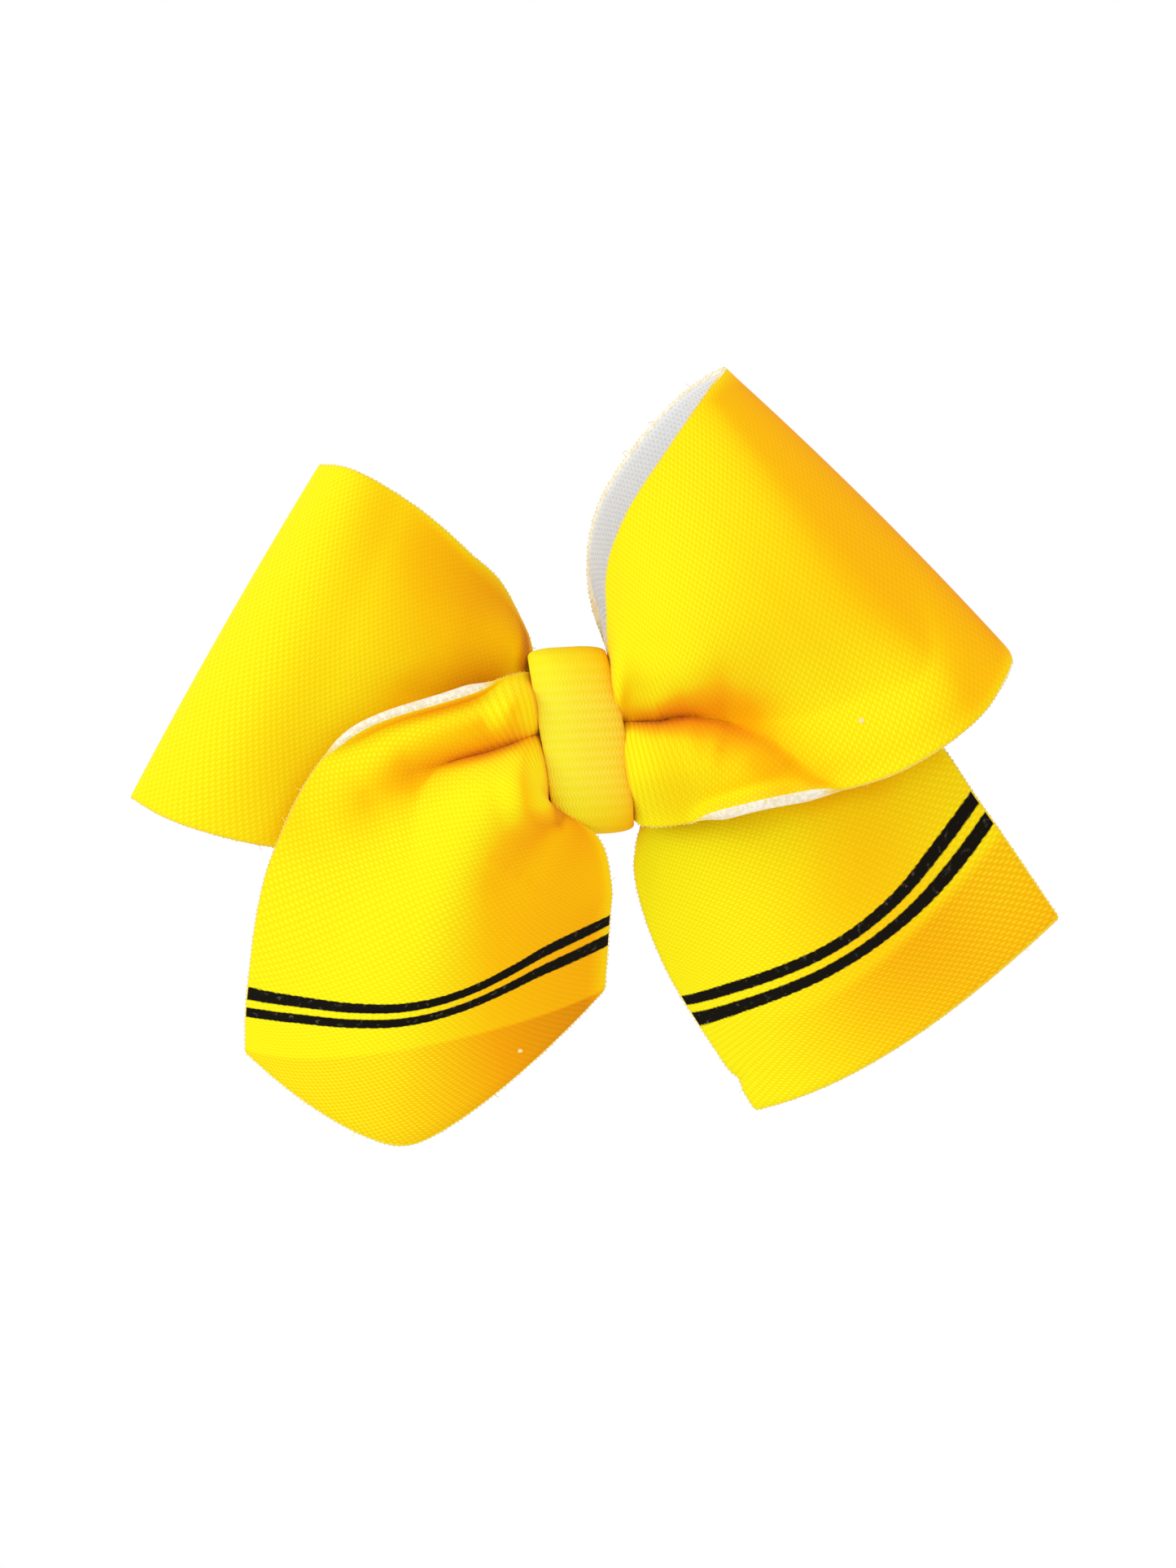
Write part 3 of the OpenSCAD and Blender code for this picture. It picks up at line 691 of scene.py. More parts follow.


# Each crease also paints shade along its line, more for a sharp one than a soft one.
SHARP_CREASE_SHADE, SOFT_CREASE_SHADE = 0.2, 0.08  # depth of colour per mm that a crease is pressed in
bpy.context.view_layer.update()
normal = sheet_normals(middle)
grid_points = from_knot(middle - (thickness / 2)[:, None, None] * normal)
coarse = np.s_[::3, ::3]
open_share = openness(bow_strip, grid_points[coarse].reshape(-1, 3),
    -normal[coarse].reshape(-1, 3)).reshape(grid_points[coarse].shape[:2])
for _ in range(2):
    padded_share = np.pad(open_share, 1, mode="edge")
    open_share = (padded_share[:-2, 1:-1] + padded_share[2:, 1:-1] + padded_share[1:-1, :-2]
        + padded_share[1:-1, 2:] + 4 * open_share) / 8
row_index = np.clip(np.arange(len(middle)) / 3, 0, open_share.shape[0] - 1.001)
column_index = np.clip(np.arange(COLUMNS) / 3, 0, open_share.shape[1] - 1.001)
r0, c0 = row_index.astype(int), column_index.astype(int)
fr, fc = (row_index - r0)[:, None], (column_index - c0)[None, :]
open_share = (open_share[r0][:, c0] * (1 - fr) * (1 - fc) + open_share[r0 + 1][:, c0] * fr * (1 - fc)
    + open_share[r0][:, c0 + 1] * (1 - fr) * fc + open_share[r0 + 1][:, c0 + 1] * fr * fc)
# Just left of the wrap, cloth that rolls to the right gets little painted shade for it.
near_left = np.clip(1.4 + (X + Z * LEAN + WRAP_W / 2) / 5, 0, 1) * (X < -3) * level_with_wrap
leftward = np.maximum(normal[..., 0], -1 + 0.85 * near_left)
closed = np.maximum(0.75 - open_share, 0)
beside_wrap = np.clip(1.2 - (np.abs(X + Z * LEAN) - WRAP_W / 2) / 0.9, 0, 1) * level_with_wrap
# Painted shade: deeper where the printed face turns away from the light on its left, where it lies closed
# in, and beside the wrap.
painted_fold_shade = np.clip(0.21 - 0.55 * leftward + 0.38 * leftward ** 2 + 0.7 * closed
    + 0.7 * beside_wrap ** 2, 0, 1)
for panel, points, sharp in creases:
    distance, pressed = near_line(points, X, Z)
    dip = pressed[..., 0] * np.exp(-(distance / pressed[..., 1]) ** 2)
    painted_fold_shade += panel_mask(panel) * dip * (SHARP_CREASE_SHADE if sharp else SOFT_CREASE_SHADE)
painted_fold_shade = np.clip(painted_fold_shade, 0, 1)
# Near the cut edges the painted shade is held lighter.
from_edge = np.clip(np.minimum(v, 1 - v) / 0.1, 0, 1)
painted_fold_shade = np.minimum(painted_fold_shade, 0.32 + 0.68 * from_edge)
print("fold depth", np.percentile(painted_fold_shade, [5, 25, 50, 75, 95]).round(2))


def point_values(mesh, name, values):
    """Stores a value at each point of a mesh."""
    mesh.attributes.new(name, "FLOAT", "POINT").data.foreach_set("value", values.astype(np.float32))


gathers_share = np.clip(1.5 - np.sqrt(X ** 2 + 1.7 * Z ** 2) / 14, 0, 1)
for name, grid in (("painted_fold_shade", painted_fold_shade), ("gathers", gathers_share), ("turned_out", turned_out)):
    point_values(bow_strip.data, name, over_skin(grid))
# Through the cloth: 0 on the printed face, 1 on the reverse, steps between on the cut edge.
cut_steps = [0.15, 0.5, 0.85]
ring = [0.0] * COLUMNS + cut_steps + [1.0] * COLUMNS + cut_steps[::-1]
point_values(bow_strip.data, "through_cloth",
    np.array(ring * len(middle) + cut_steps * 2 * COLUMNS))

# %% [markdown]
# Printed double knit: a polyester jersey with a white, foamy inside, printed on its face by
# heat transfer. On the flat strip the stitches stand in rows 0.43 mm apart, each row shifted
# by half a stitch, and they lie aslant of the strip. The tops of the stitches carry painted
# highlights as small pale dots, with a deeper yellow painted between them, and both fade with
# the painted shade where the cloth dips or turns away from the lamp. The ground runs from lit
# yellow to deep orange with that painted shade. The print is a plain ground with two dark
# stripes near each end, which waver across the strip, and a deeper orange past them.

# %% Printed knit
ROW_GAP, ROW_SHIFT = 0.43, 0.63  # mm from row to row, and sideways from row to row
PROFILE_TOP = 20  # a value in mm above all those of the stripes' curves


def profile(tree, t, *points):
    """A smooth curve through (t, value) points in mm, for t across the strip."""
    node = add(tree, "ShaderNodeFloatCurve", {"Value": calc(tree, "DIVIDE", t, STRIP_W)})
    curve = node.mapping.curves[0]
    for n, (place, value) in enumerate(points):
        spot = (place / STRIP_W, value / PROFILE_TOP)
        if n < 2:
            curve.points[n].location = spot
        else:
            curve.points.new(*spot)
    node.mapping.update()
    return times(tree, node.outputs[0], float(PROFILE_TOP))


def soft_step(tree, value, edge, width):
    """0 below the edge and 1 above it, with a soft change."""
    return add(tree, "ShaderNodeMapRange", {"Value": value, "From Min": edge - width / 2,
        "From Max": edge + width / 2}).outputs[0]


printed_knit, tree, shader = new_material("printed_double_knit")
s_mm, t_mm = flat_mm(tree)
turn = math.radians(15)
up = calc(tree, "ADD", times(tree, s_mm, math.cos(turn)), times(tree, t_mm, math.sin(turn)))
side = calc(tree, "SUBTRACT", times(tree, t_mm, math.cos(turn)), times(tree, s_mm, math.sin(turn)))
gathers = attribute(tree, "gathers")
dots = times(tree, wave(tree, up, 2 * ROW_GAP), wave(tree, side, 2 * ROW_SHIFT),
    calc(tree, "SUBTRACT", 0.32, times(tree, gathers, 0.3)))
courses = times(tree, wave(tree, s_mm, 0.84), 0.3, gathers)
grain = times(tree, wave(tree, up, ROW_GAP), 0.15)
stitch = calc(tree, "ADD", calc(tree, "ADD", calc(tree, "ADD", dots, courses), grain), 0.5)

# %% Dye, painted shade and stripes
# The painted shade of the folds, read from the points.
fold = attribute(tree, "painted_fold_shade")
far_mm = calc(tree, "SUBTRACT", float(strip_length), s_mm)
left_middle = profile(tree, t_mm, (0, 13.3), (4.5, 14.0), (8.8, 14.4), (17, 14.3), (25.5, 14.0),
    (34, 14.4), (42, 15.35), (46, 15.8), (50, 15.6), (57, 14.2))
left_half = profile(tree, t_mm, (0, 3.2), (4.5, 2.7), (13, 2.25), (25.5, 2.0), (34, 2.05),
    (42, 2.5), (50, 3.4), (57, 4.1))
right_middle = profile(tree, t_mm, (0, 15.7), (8, 15.37), (14, 15.24), (20.5, 15.5), (29, 16.1),
    (37.7, 16.75), (43, 16.9), (48, 16.7), (57, 15.2))
right_half = profile(tree, t_mm, (0, 2.45), (8, 2.5), (16, 2.13), (25, 1.97), (33, 2.09),
    (42, 2.43), (51, 3.0), (57, 3.3))
left_place = calc(tree, "DIVIDE", calc(tree, "SUBTRACT", s_mm, left_middle), left_half)
right_place = calc(tree, "DIVIDE", calc(tree, "SUBTRACT", far_mm, right_middle), right_half)
place = calc(tree, "ABSOLUTE", calc(tree, "MINIMUM", left_place, right_place))
place = calc(tree, "ADD", place, times(tree, calc(tree, "SUBTRACT", stitch, 0.5), 0.06))
stripe = times(tree, soft_step(tree, place, 0.25, 0.08),
    one_less(tree, soft_step(tree, place, 1.0, 0.08)))

left_edge = times(tree, t_mm, calc(tree, "SUBTRACT", 0.5166, times(tree, t_mm, 0.00922)))
left_end = one_less(tree, soft_step(tree, calc(tree, "SUBTRACT", s_mm, left_edge), 0.5, 0.7))
right_end = times(tree, one_less(tree, soft_step(tree, far_mm, 11.6, 1.4)),
    one_less(tree, soft_step(tree, t_mm, 30.0, 34.0)))
ends = calc(tree, "MAXIMUM", times(tree, left_end, 0.3), times(tree, right_end, 0.42))
# The ground's stops run from lit yellow to orange painted shade; the painted shade and the print's orange
# ends both move along them.
ground_and_shade = ramp_colour(tree, calc(tree, "ADD", fold, ends), (0, "#FFF708"), (0.22, "#FFDC05"),
    (0.5, "#FFB600"), (0.75, "#F89800"), (1, "#D66A00"))
# The painted highlights on the stitch tops and the painted shade between them fade as the painted shade of
# the folds deepens, except in the gathers.
shown = add(tree, "ShaderNodeMapRange", {"Value": fold, "From Min": 0.12, "From Max": 0.45,
    "To Min": 1.0, "To Max": 0.22}).outputs[0]
shown = calc(tree, "MAXIMUM", shown, times(tree, gathers, 0.45))
low = blend_colours(tree, times(tree, one_less(tree, stitch), shown, 0.45), ground_and_shade,
    linear("#F0A800"))
surface_colour = blend_colours(tree, times(tree, stitch, shown, 0.95), low, linear("#FFFF1E"))
uv = add(tree, "ShaderNodeUVMap", uv_map="flat_cloth").outputs[0]
scuffs = add(tree, "ShaderNodeTexNoise", {"Vector": uv, "Scale": 900.0, "Detail": 3.0})
scuffs = times(tree, soft_step(tree, scuffs.outputs[0], 0.68, 0.16), stitch)
ink = blend_colours(tree, scuffs, linear("#15100A"), linear("#6E6757"))
surface_colour = blend_colours(tree, stripe, surface_colour, ink)
tree.links.new(surface_colour, shader.inputs["Base Color"])
set_up(shader, Roughness=0.85, Specular_IOR_Level=0.05, Sheen_Weight=0.04, Sheen_Roughness=0.5)
emboss(tree, shader, stitch, 0.25, 0.0001)

# %% [markdown]
# The reverse has no print: it is the white polyester of the yarn, with a fine open mesh of
# knit loops that reads as rows of small grey dots. Where the strip is cut, the foamy white
# inside and the dyed face meet: where the edge curls open the foam shows as a pale cream band,
# and where it lies flat the dye has soaked over the half of it next to the print, carrying the
# same painted shade as the printed face.

# %% White reverse and cut edge
white_reverse, tree, shader = new_material("white_knit_reverse")
s_mm, t_mm = flat_mm(tree)
holes = times(tree, wave(tree, s_mm, 0.8), wave(tree, t_mm, 1.1), 0.5)
holes = calc(tree, "ADD", holes, 0.5)
white = blend_colours(tree, soft_step(tree, holes, 0.78, 0.36), linear("#FDFEFF"),
    linear("#E4E9F0"))
tree.links.new(white, shader.inputs["Base Color"])
set_up(shader, Roughness=0.9, Specular_IOR_Level=0.1, Sheen_Weight=0.35, Sheen_Roughness=0.6)
emboss(tree, shader, holes, 0.4, 0.00015, invert=True)

cut_edge, tree, shader = new_material("cut_knit_edge")
place = add(tree, "ShaderNodeTexCoord").outputs["Object"]
frayed = add(tree, "ShaderNodeTexNoise", {"Vector": place, "Scale": 1600.0,
    "Detail": 2.0}).outputs[0]
foam = blend_colours(tree, soft_step(tree, frayed, 0.5, 0.2), linear("#F4E6C6"), linear("#FFF9EA"))
# The soaked dye runs from yellow to orange with the cloth's painted shade.
soaked_dye_and_shade = blend_colours(tree, attribute(tree, "painted_fold_shade"), linear("#FFE83C"), linear("#F0A020"))
through = calc(tree, "ADD", attribute(tree, "through_cloth"), times(tree, frayed, 0.3))
bare = calc(tree, "MAXIMUM", soft_step(tree, attribute(tree, "turned_out"), 0.35, 0.5),
    soft_step(tree, through, 0.62, 0.3))
tree.links.new(blend_colours(tree, bare, soaked_dye_and_shade, foam), shader.inputs["Base Color"])
set_up(shader, Roughness=0.9, Specular_IOR_Level=0.1)
for finish in (printed_knit, white_reverse, cut_edge):
    bow_strip.data.materials.append(finish)

# %% [markdown]
# ## The centre wrap
# A second strip of the same knit, folded so that its cut edges meet behind, goes once round
# the gathers and laps at the back, where glue holds it. Folding leaves a soft, padded band
# with round edges. It is drawn as a closed tube of an oval section that follows a squared
# oval path and steps out over its own start.

# %% Wrap
LAP_GLUE_T = 0.4
SQUARE = 0.36  # the exponent that squares the ovals of the wrap


def power(c, e):
    """A power that keeps the sign."""
    return np.sign(c) * np.abs(c) ** e


def oval(a, y, z, e):
    """A squared oval round the knot; e below 1 makes it squarer."""
    return np.stack([np.zeros_like(a), y * power(np.cos(a), e), z * power(np.sin(a), e)], -1)


def at_knot(points):
    """Leans points drawn upright round the knot and moves them to it, in metres."""
    x = points[..., 0] - points[..., 2] * LEAN
    z = points[..., 2] + points[..., 0] * math.tan(math.radians(3))
    return from_knot(np.stack([x, points[..., 1], z], axis=-1))


def tube(name, rings, flat=None):
    """A closed mesh over rings of points in metres; flat holds its run and its girth in mm."""
    count, size = rings.shape[:2]
    points = rings.reshape(-1, 3)
    i = np.arange(count - 1)[:, None] * size
    j = np.arange(size)[None, :]
    k = (j + 1) % size
    faces = np.stack([i + j, i + k, i + size + k, i + size + j], axis=-1).reshape(-1, 4).tolist()
    faces.append(list(range(size))[::-1])
    faces.append([(count - 1) * size + n for n in range(size)])
    mesh = bpy.data.meshes.new(name)
    mesh.from_pydata(points.tolist(), [], faces)
    mesh.polygons.foreach_set("use_smooth", np.ones(len(faces), bool))
    if flat:
        layer = mesh.uv_layers.new(name="flat_cloth")
        run, girth = flat
        for face in mesh.polygons:
            columns = [n % size for n in face.vertices]
            seam = max(columns) - min(columns) > size / 2
            for loop, vertex in zip(face.loop_indices, face.vertices):
                row, column = divmod(vertex, size)
                across = girth[column] if not (seam and column == 0) else girth[-1]
                layer.data[loop].uv = (run[row] / 1000, across / 1000)
    mesh.update()
    corners = points - points.mean(0)
    volume = sum(np.dot(corners[f[0]], np.cross(corners[f[1]], corners[f[2]])) for f in faces)
    if volume < 0:
        mesh.flip_normals()
    return put(name, mesh)


turns, sides = 240, 48
angle = np.radians(np.linspace(9, -369, turns + 1))
over_lap = ease(np.clip((np.degrees(angle) + 285) / -45, 0, 1))
lap = (WRAP_T + WRAP_CROWN + LAP_GLUE_T) * over_lap
path = np.stack([np.zeros_like(angle), (WRAP_Y + lap) * power(np.cos(angle), SQUARE),
    (WRAP_Z + 0.4 * lap) * power(np.sin(angle), SQUARE)], axis=-1)
path, even = evened(path, turns + 1)
path = smoothed(path, 3)
ahead = unit(np.gradient(path, axis=0))
out = unit(np.cross(np.array([1.0, 0, 0]), ahead))
a = -2 * math.pi * (np.arange(sides) + 0.5) / sides
x = WRAP_W / 2 * power(np.cos(a), SQUARE)
crown = np.where(np.sin(a) > 0, WRAP_CROWN * (1 - (2 * x / WRAP_W) ** 2), 0)
lift = WRAP_T / 2 * power(np.sin(a), 0.6) + crown
rng = np.random.default_rng(11)
waver = np.convolve(rng.normal(0, 1, turns + 41), np.ones(41) / 41, "valid")
front = np.clip(-path[:, 1] / WRAP_Y, 0, 1)
bulge = 0.8 * front * (1 - (path[:, 2] / WRAP_Z) ** 2)
wide = x[None, :] * (1 + 0.06 * waver[:, None]) + bulge[:, None] * np.clip(x / 5, 0, 1)
rings = path[:, None] + out[:, None] * lift[None, :, None] + np.array([1.0, 0, 0]) * wide[..., None]
girth = np.concatenate([[0], np.cumsum(np.hypot(np.diff(x), np.diff(lift)))])
girth = np.append(girth, girth[-1] + np.hypot(x[0] - x[-1], lift[0] - lift[-1]))
wrap = tube("padded_wrap", at_knot(rings), (even, girth))
wrap_normal = np.zeros(len(wrap.data.vertices) * 3)
wrap.data.vertices.foreach_get("normal", wrap_normal)
wrap_normal = wrap_normal.reshape(-1, 3)
flank = np.tile(np.clip(0.5 - lift, 0, 1), turns + 1)
sideways = (wide / (WRAP_W / 2)).ravel()
tall = np.repeat(path[:, 2] / WRAP_Z, sides)
# Shade is painted into the wrap's colour: it deepens with its slope away from the light on its
# left, across its width toward the right, where it turns away from the front and down its
# flanks, and its pale ribs fade toward its top and bottom. The constants were tuned as those
# of the strip were.
wrap_painted_shade = np.clip(0.12 + 0.25 * wrap_normal[:, 0] + 0.2 * sideways
    + 0.2 * (1 - np.abs(wrap_normal[:, 1])) + 0.4 * flank, 0, 1)
point_values(wrap.data, "painted_fold_shade", wrap_painted_shade)
point_values(wrap.data, "paleness", 1 - 0.9 * np.clip(2 * np.abs(tall) - 0.9, 0, 1))
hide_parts("centre_wrap")
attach(wrap, "bow")

# %% Wrap knit
wrap_knit, tree, shader = new_material("folded_rib_knit")
s_mm, t_mm = flat_mm(tree)
row = calc(tree, "DIVIDE", s_mm, 1.3)
slant = calc(tree, "ADD", calc(tree, "DIVIDE", t_mm, 0.47),
    times(tree, calc(tree, "PINGPONG", row, 0.5), 1.3))
rib = calc(tree, "ADD", times(tree, wave(tree, row, 1), -0.14), times(tree, wave(tree, slant, 1), 0.26))
rib = calc(tree, "ADD", rib, 0.5)
# The wrap's ground runs from lit yellow to orange painted shade.
ground_and_shade = ramp_colour(tree, attribute(tree, "painted_fold_shade"), (0, "#FFFA22"), (0.17, "#FDE318"),
    (0.38, "#FDC808"), (0.6, "#FCAE00"), (1, "#F58A00"))
low = blend_colours(tree, times(tree, one_less(tree, rib), 0.22), ground_and_shade, linear("#EDB000"))
pale = times(tree, rib, 0.5, attribute(tree, "paleness"))
tree.links.new(blend_colours(tree, pale, low, linear("#FFF36A")), shader.inputs["Base Color"])
set_up(shader, Roughness=0.85, Specular_IOR_Level=0.05)
emboss(tree, shader, rib, 0.5, 0.0002)
wrap.data.materials.append(wrap_knit)

# %% [markdown]
# ## Gathering thread
# Bonded polyester thread holds the gathers: five tight turns under the wrap. Two plies
# twisted together give it a rope-like section, which turns as it runs, and a mild gloss.

# %% Thread
def swept(line, side, outline):
    """Rings of an outline (radius by angle and place) round a line of points in mm."""
    ahead = unit(np.gradient(line, axis=0))
    across = unit(side - (side * ahead).sum(-1, keepdims=True) * ahead)
    over = np.cross(ahead, across)
    a = 2 * math.pi * np.arange(outline.shape[1]) / outline.shape[1]
    return (line[:, None] + outline[..., None] * (np.cos(a)[None, :, None] * across[:, None]
        + np.sin(a)[None, :, None] * over[:, None]))


per_turn, ply_sides, ply_pitch = 220, 12, 2.6
a = 2 * math.pi * np.linspace(0, THREAD_TURNS, THREAD_TURNS * per_turn + 1)
line = oval(a, THREAD_Y, THREAD_Z, 0.22)
line[:, 0] = THREAD_PITCH * (a / (2 * math.pi) - THREAD_TURNS / 2)
line, even = evened(line, len(a))
line = smoothed(line, 2)
around = 2 * math.pi * np.arange(ply_sides) / ply_sides
twist = 2 * math.pi * even / ply_pitch
plies = THREAD_D / 2 * (0.72 + 0.28 * np.abs(np.cos(around[None, :] - twist[:, None])))
thread = tube("plied_thread", at_knot(swept(line, np.array([1.0, 0, 0]), plies)))
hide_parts("gathering_thread")
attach(thread, "bow")
thread_finish, tree, shader = new_material("bonded_polyester_thread")
set_up(shader, Base_Color=linear("#F2E9D2"), Roughness=0.5)
thread.data.materials.append(thread_finish)
print("thread", round(even[-1]), "mm long")

# %% [markdown]
# ## Glue
# Hot-melt glue joins the wrap's lap and bonds the wrap to the clip's ribbon. It sets as a
# milky pad whose rim bulges a little and wanders, because it was squeezed while soft.

# %% Glue
hot_glue, tree, shader = new_material("hot_melt_glue")
set_up(shader, Base_Color=linear("#EFECE0"), Roughness=0.3, IOR=1.48, Subsurface_Weight=0.4,
    Subsurface_Radius=(0.002, 0.002, 0.0018), Subsurface_Scale=1.0)


def glue_pad(name, node, width, height, y0, y1, lean, seed):
    """A squeezed pad between two faces at y0 and y1, in mm."""
    rng = np.random.default_rng(seed)
    a = 2 * math.pi * np.arange(96) / 96
    wander = sum(rng.normal(0, 0.02) * np.cos(n * a + rng.uniform(0, 6)) for n in range(2, 8))
    x = width / 2 * power(np.cos(a), 0.5) * (1 + wander)
    z = height / 2 * power(np.sin(a), 0.5) * (1 + wander)
    rings = []
    for share, spread in ((0, 0.5), (0, 0.86), (0.08, 0.93), (0.3, 0.985), (0.5, 1.0), (0.7, 0.985),
            (0.92, 0.93), (1, 0.86), (1, 0.5)):
        y = np.full_like(x, y0 + (y1 - y0) * share)
        rings.append(np.stack([x * spread, y, z * spread], axis=-1))
    rings = np.array(rings)[:, ::-1]
    pad = tube(name, at_knot(rings) if lean else rings / 1000)
    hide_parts(node)
    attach(pad, "bow")
    pad.data.materials.append(hot_glue)


low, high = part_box("clip_glue")
clip_pad_w, clip_pad_h = 12.9, 8.6
glue_pad("clip_glue_bead", "clip_glue", clip_pad_w, clip_pad_h, low.y * 1000, high.y * 1000, False, 3)
lap_from = WRAP_Y + WRAP_T / 2 + WRAP_CROWN
glue_pad("lap_glue_bead", "wrap_glue", WRAP_W * 0.6, 6, lap_from, lap_from + LAP_GLUE_T, True, 4)

# %% [markdown]
# ## Ribbon lining
# Grosgrain ribbon covers the top jaw's outside, turns round its tip and lines the grip, so
# the glue holds and the steel doesn't slip in hair. Its cross ribs lie 0.9 mm apart. It is
# swept along its folded path as one band.

# %% Lining
low, high = [np.array(corner) * 1000 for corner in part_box("clip_lining")]
LINING_T, LINING_W, TIP_X, GRIP_END = 0.5, 8.0, -24.0, 2.0
y_out, y_in = low[1] + LINING_T / 2, high[1] - LINING_T / 2
bend_r = (y_in - y_out) / 2
bend = np.radians(np.linspace(-90, 90, 19))
outer_run = np.stack([np.linspace(high[0], TIP_X + 0.35, 90), np.full(90, y_out)], axis=-1)
turn_run = np.stack([TIP_X + 0.35 - 0.6 * power(np.cos(bend), 0.6),
    (y_out + y_in) / 2 + bend_r * power(np.sin(bend), 0.6)], axis=-1)[1:-1]
inner_run = np.stack([np.linspace(TIP_X + 0.35, GRIP_END, 60), np.full(60, y_in)], axis=-1)
fold_line = np.concatenate([outer_run, turn_run, inner_run])
lining_run = run_along(fold_line)
across_count = 17
z_places = np.linspace(-LINING_W / 2, LINING_W / 2, across_count)
grid = np.stack([np.repeat(fold_line[:, :1], across_count, 1),
    np.repeat(fold_line[:, 1:], across_count, 1),
    np.repeat(z_places[None, :], len(fold_line), 0)], axis=-1)
ribbon = cloth_skin("grosgrain_lining", grid - np.array(KNOT) * 1000, np.full(len(grid), LINING_T / 2),
    np.repeat(lining_run[:, None], across_count, 1),
    np.repeat(z_places[None, :] + LINING_W / 2, len(grid), 0), 0.3)
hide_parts("clip_lining")
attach(ribbon, "bow")
grosgrain, tree, shader = new_material("grosgrain_ribbon")
rib = calc(tree, "ADD", times(tree, wave(tree, flat_mm(tree)[0], 0.9), 0.5), 0.5)
surface_colour = blend_colours(tree, rib, linear("#F2B800"), linear("#FFDD1A"))
tree.links.new(surface_colour, shader.inputs["Base Color"])
set_up(shader, Roughness=0.6)
emboss(tree, shader, rib, 0.6, 0.0002)
for _ in range(3):
    ribbon.data.materials.append(grosgrain)
print("ribbon", round(lining_run[-1], 1), "mm long")

# %% [markdown]
# ## Clip and spring
# The clip is stamped from mild steel strip and nickel plated, then tumbled, which leaves a
# bright but slightly soft shine with fine marks along the strip. The spring is hard-drawn
# music wire, a little darker. It is drawn as one smooth wire: a little over four turns round
# the pin, one leg under the top jaw and one along the lever.

# %% Plated steel
nickel_plate, tree, shader = new_material("nickel_plated_steel")
place = add(tree, "ShaderNodeTexCoord").outputs["Object"]
stretch = add(tree, "ShaderNodeMapping", {"Vector": place, "Scale": (300.0, 4000.0, 4000.0)})
marks = add(tree, "ShaderNodeTexNoise", {"Vector": stretch.outputs[0], "Scale": 1.0, "Detail": 2.0})
tumbled = add(tree, "ShaderNodeMapRange", {"Value": marks.outputs[0], "To Min": 0.2, "To Max": 0.36})
set_up(shader, Base_Color=linear("#B9B6AE"), Metallic=1.0)
tree.links.new(tumbled.outputs[0], shader.inputs["Roughness"])


def eased_steel(node, body):
    """A merged copy of a stamped piece whose edges are eased, as tumbling leaves them."""
    work = bmesh.new()
    work.from_mesh(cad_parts[node].data)
    bmesh.ops.remove_doubles(work, verts=work.verts, dist=1e-6)
    bmesh.ops.dissolve_limit(work, angle_limit=math.radians(1), verts=work.verts, edges=work.edges)
    corners = [e for e in work.edges if len(e.link_faces) == 2
        and e.calc_face_angle() > math.radians(40)]
    bmesh.ops.bevel(work, geom=corners, offset=0.00008, offset_type="OFFSET", segments=2,
        profile=0.5, affect="EDGES", clamp_overlap=True)
    bmesh.ops.triangulate(work, faces=work.faces)
    mesh = bpy.data.meshes.new(node + "_plated")
    work.to_mesh(mesh)
    work.free()
    mesh.materials.append(nickel_plate)
    mesh.polygons.foreach_set("use_smooth", np.ones(len(mesh.polygons), bool))
    mesh.set_sharp_from_angle(angle=math.radians(24))
    steel = put(mesh.name, mesh)
    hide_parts(node)
    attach(steel, body)
    print(mesh.name, len(mesh.polygons), "faces")


for node, body in (("clip_top_jaw", "bow"), ("clip_lower_jaw", "jaw"), ("pivot_pin", "bow")):
    eased_steel(node, body)

# %% Spring
PIVOT = np.array([9.0, 1.6, 0.0])
LEVER_ANGLE, COIL_R, COIL_PITCH = 30, 1.75, 0.96
turned = math.radians(180 - LEVER_ANGLE + 360 * 4)
share = np.linspace(0, 1, 4 * 48 + 1)
a = -math.pi / 2 - turned * share
rise = COIL_PITCH * turned / (2 * math.pi)
coil = np.stack([COIL_R * np.cos(a), COIL_R * np.sin(a), rise * (share - 0.5)], axis=-1)
first_leg = coil[0] + np.linspace(12, 0.3, 30)[:, None] * np.array([1.0, 0, 0])
lever_angle = math.radians(LEVER_ANGLE)
lever = np.array([math.cos(lever_angle), math.sin(lever_angle), 0])
last_leg = coil[-1] + np.linspace(0.3, 12, 30)[:, None] * lever
wire = np.concatenate([first_leg, coil, last_leg])
wire_rings = swept(wire, np.array([0.0, 0, 1.0]), np.full((len(wire), 16), 0.4))
spring = tube("wire_spring", (wire_rings + PIVOT) / 1000)
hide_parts("torsion_spring")
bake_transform(spring)
music_wire, tree, shader = new_material("music_wire")
set_up(shader, Base_Color=linear("#A9A7A2"), Metallic=1.0, Roughness=0.3)
spring.data.materials.append(music_wire)

# %% [markdown]
# Cut double knit doesn't fray like woven cloth: the last row of stitches is left as a line of
# tiny open loops, with a loose end of yarn here and there. Each loop could be a curve drawn by
# hand, but there are over a thousand, all alike, so Geometry Nodes set one small arc of yarn
# on each of a row of points along the cut. Two attributes on the points say which way is out
# of the cloth and which way is along the cut, and a third carries the cloth's painted shade;
# fixed seeds vary the size and the tilt.

# %% Points along the cuts
LOOP_PITCH = 0.63  # mm from loop to loop along a cut


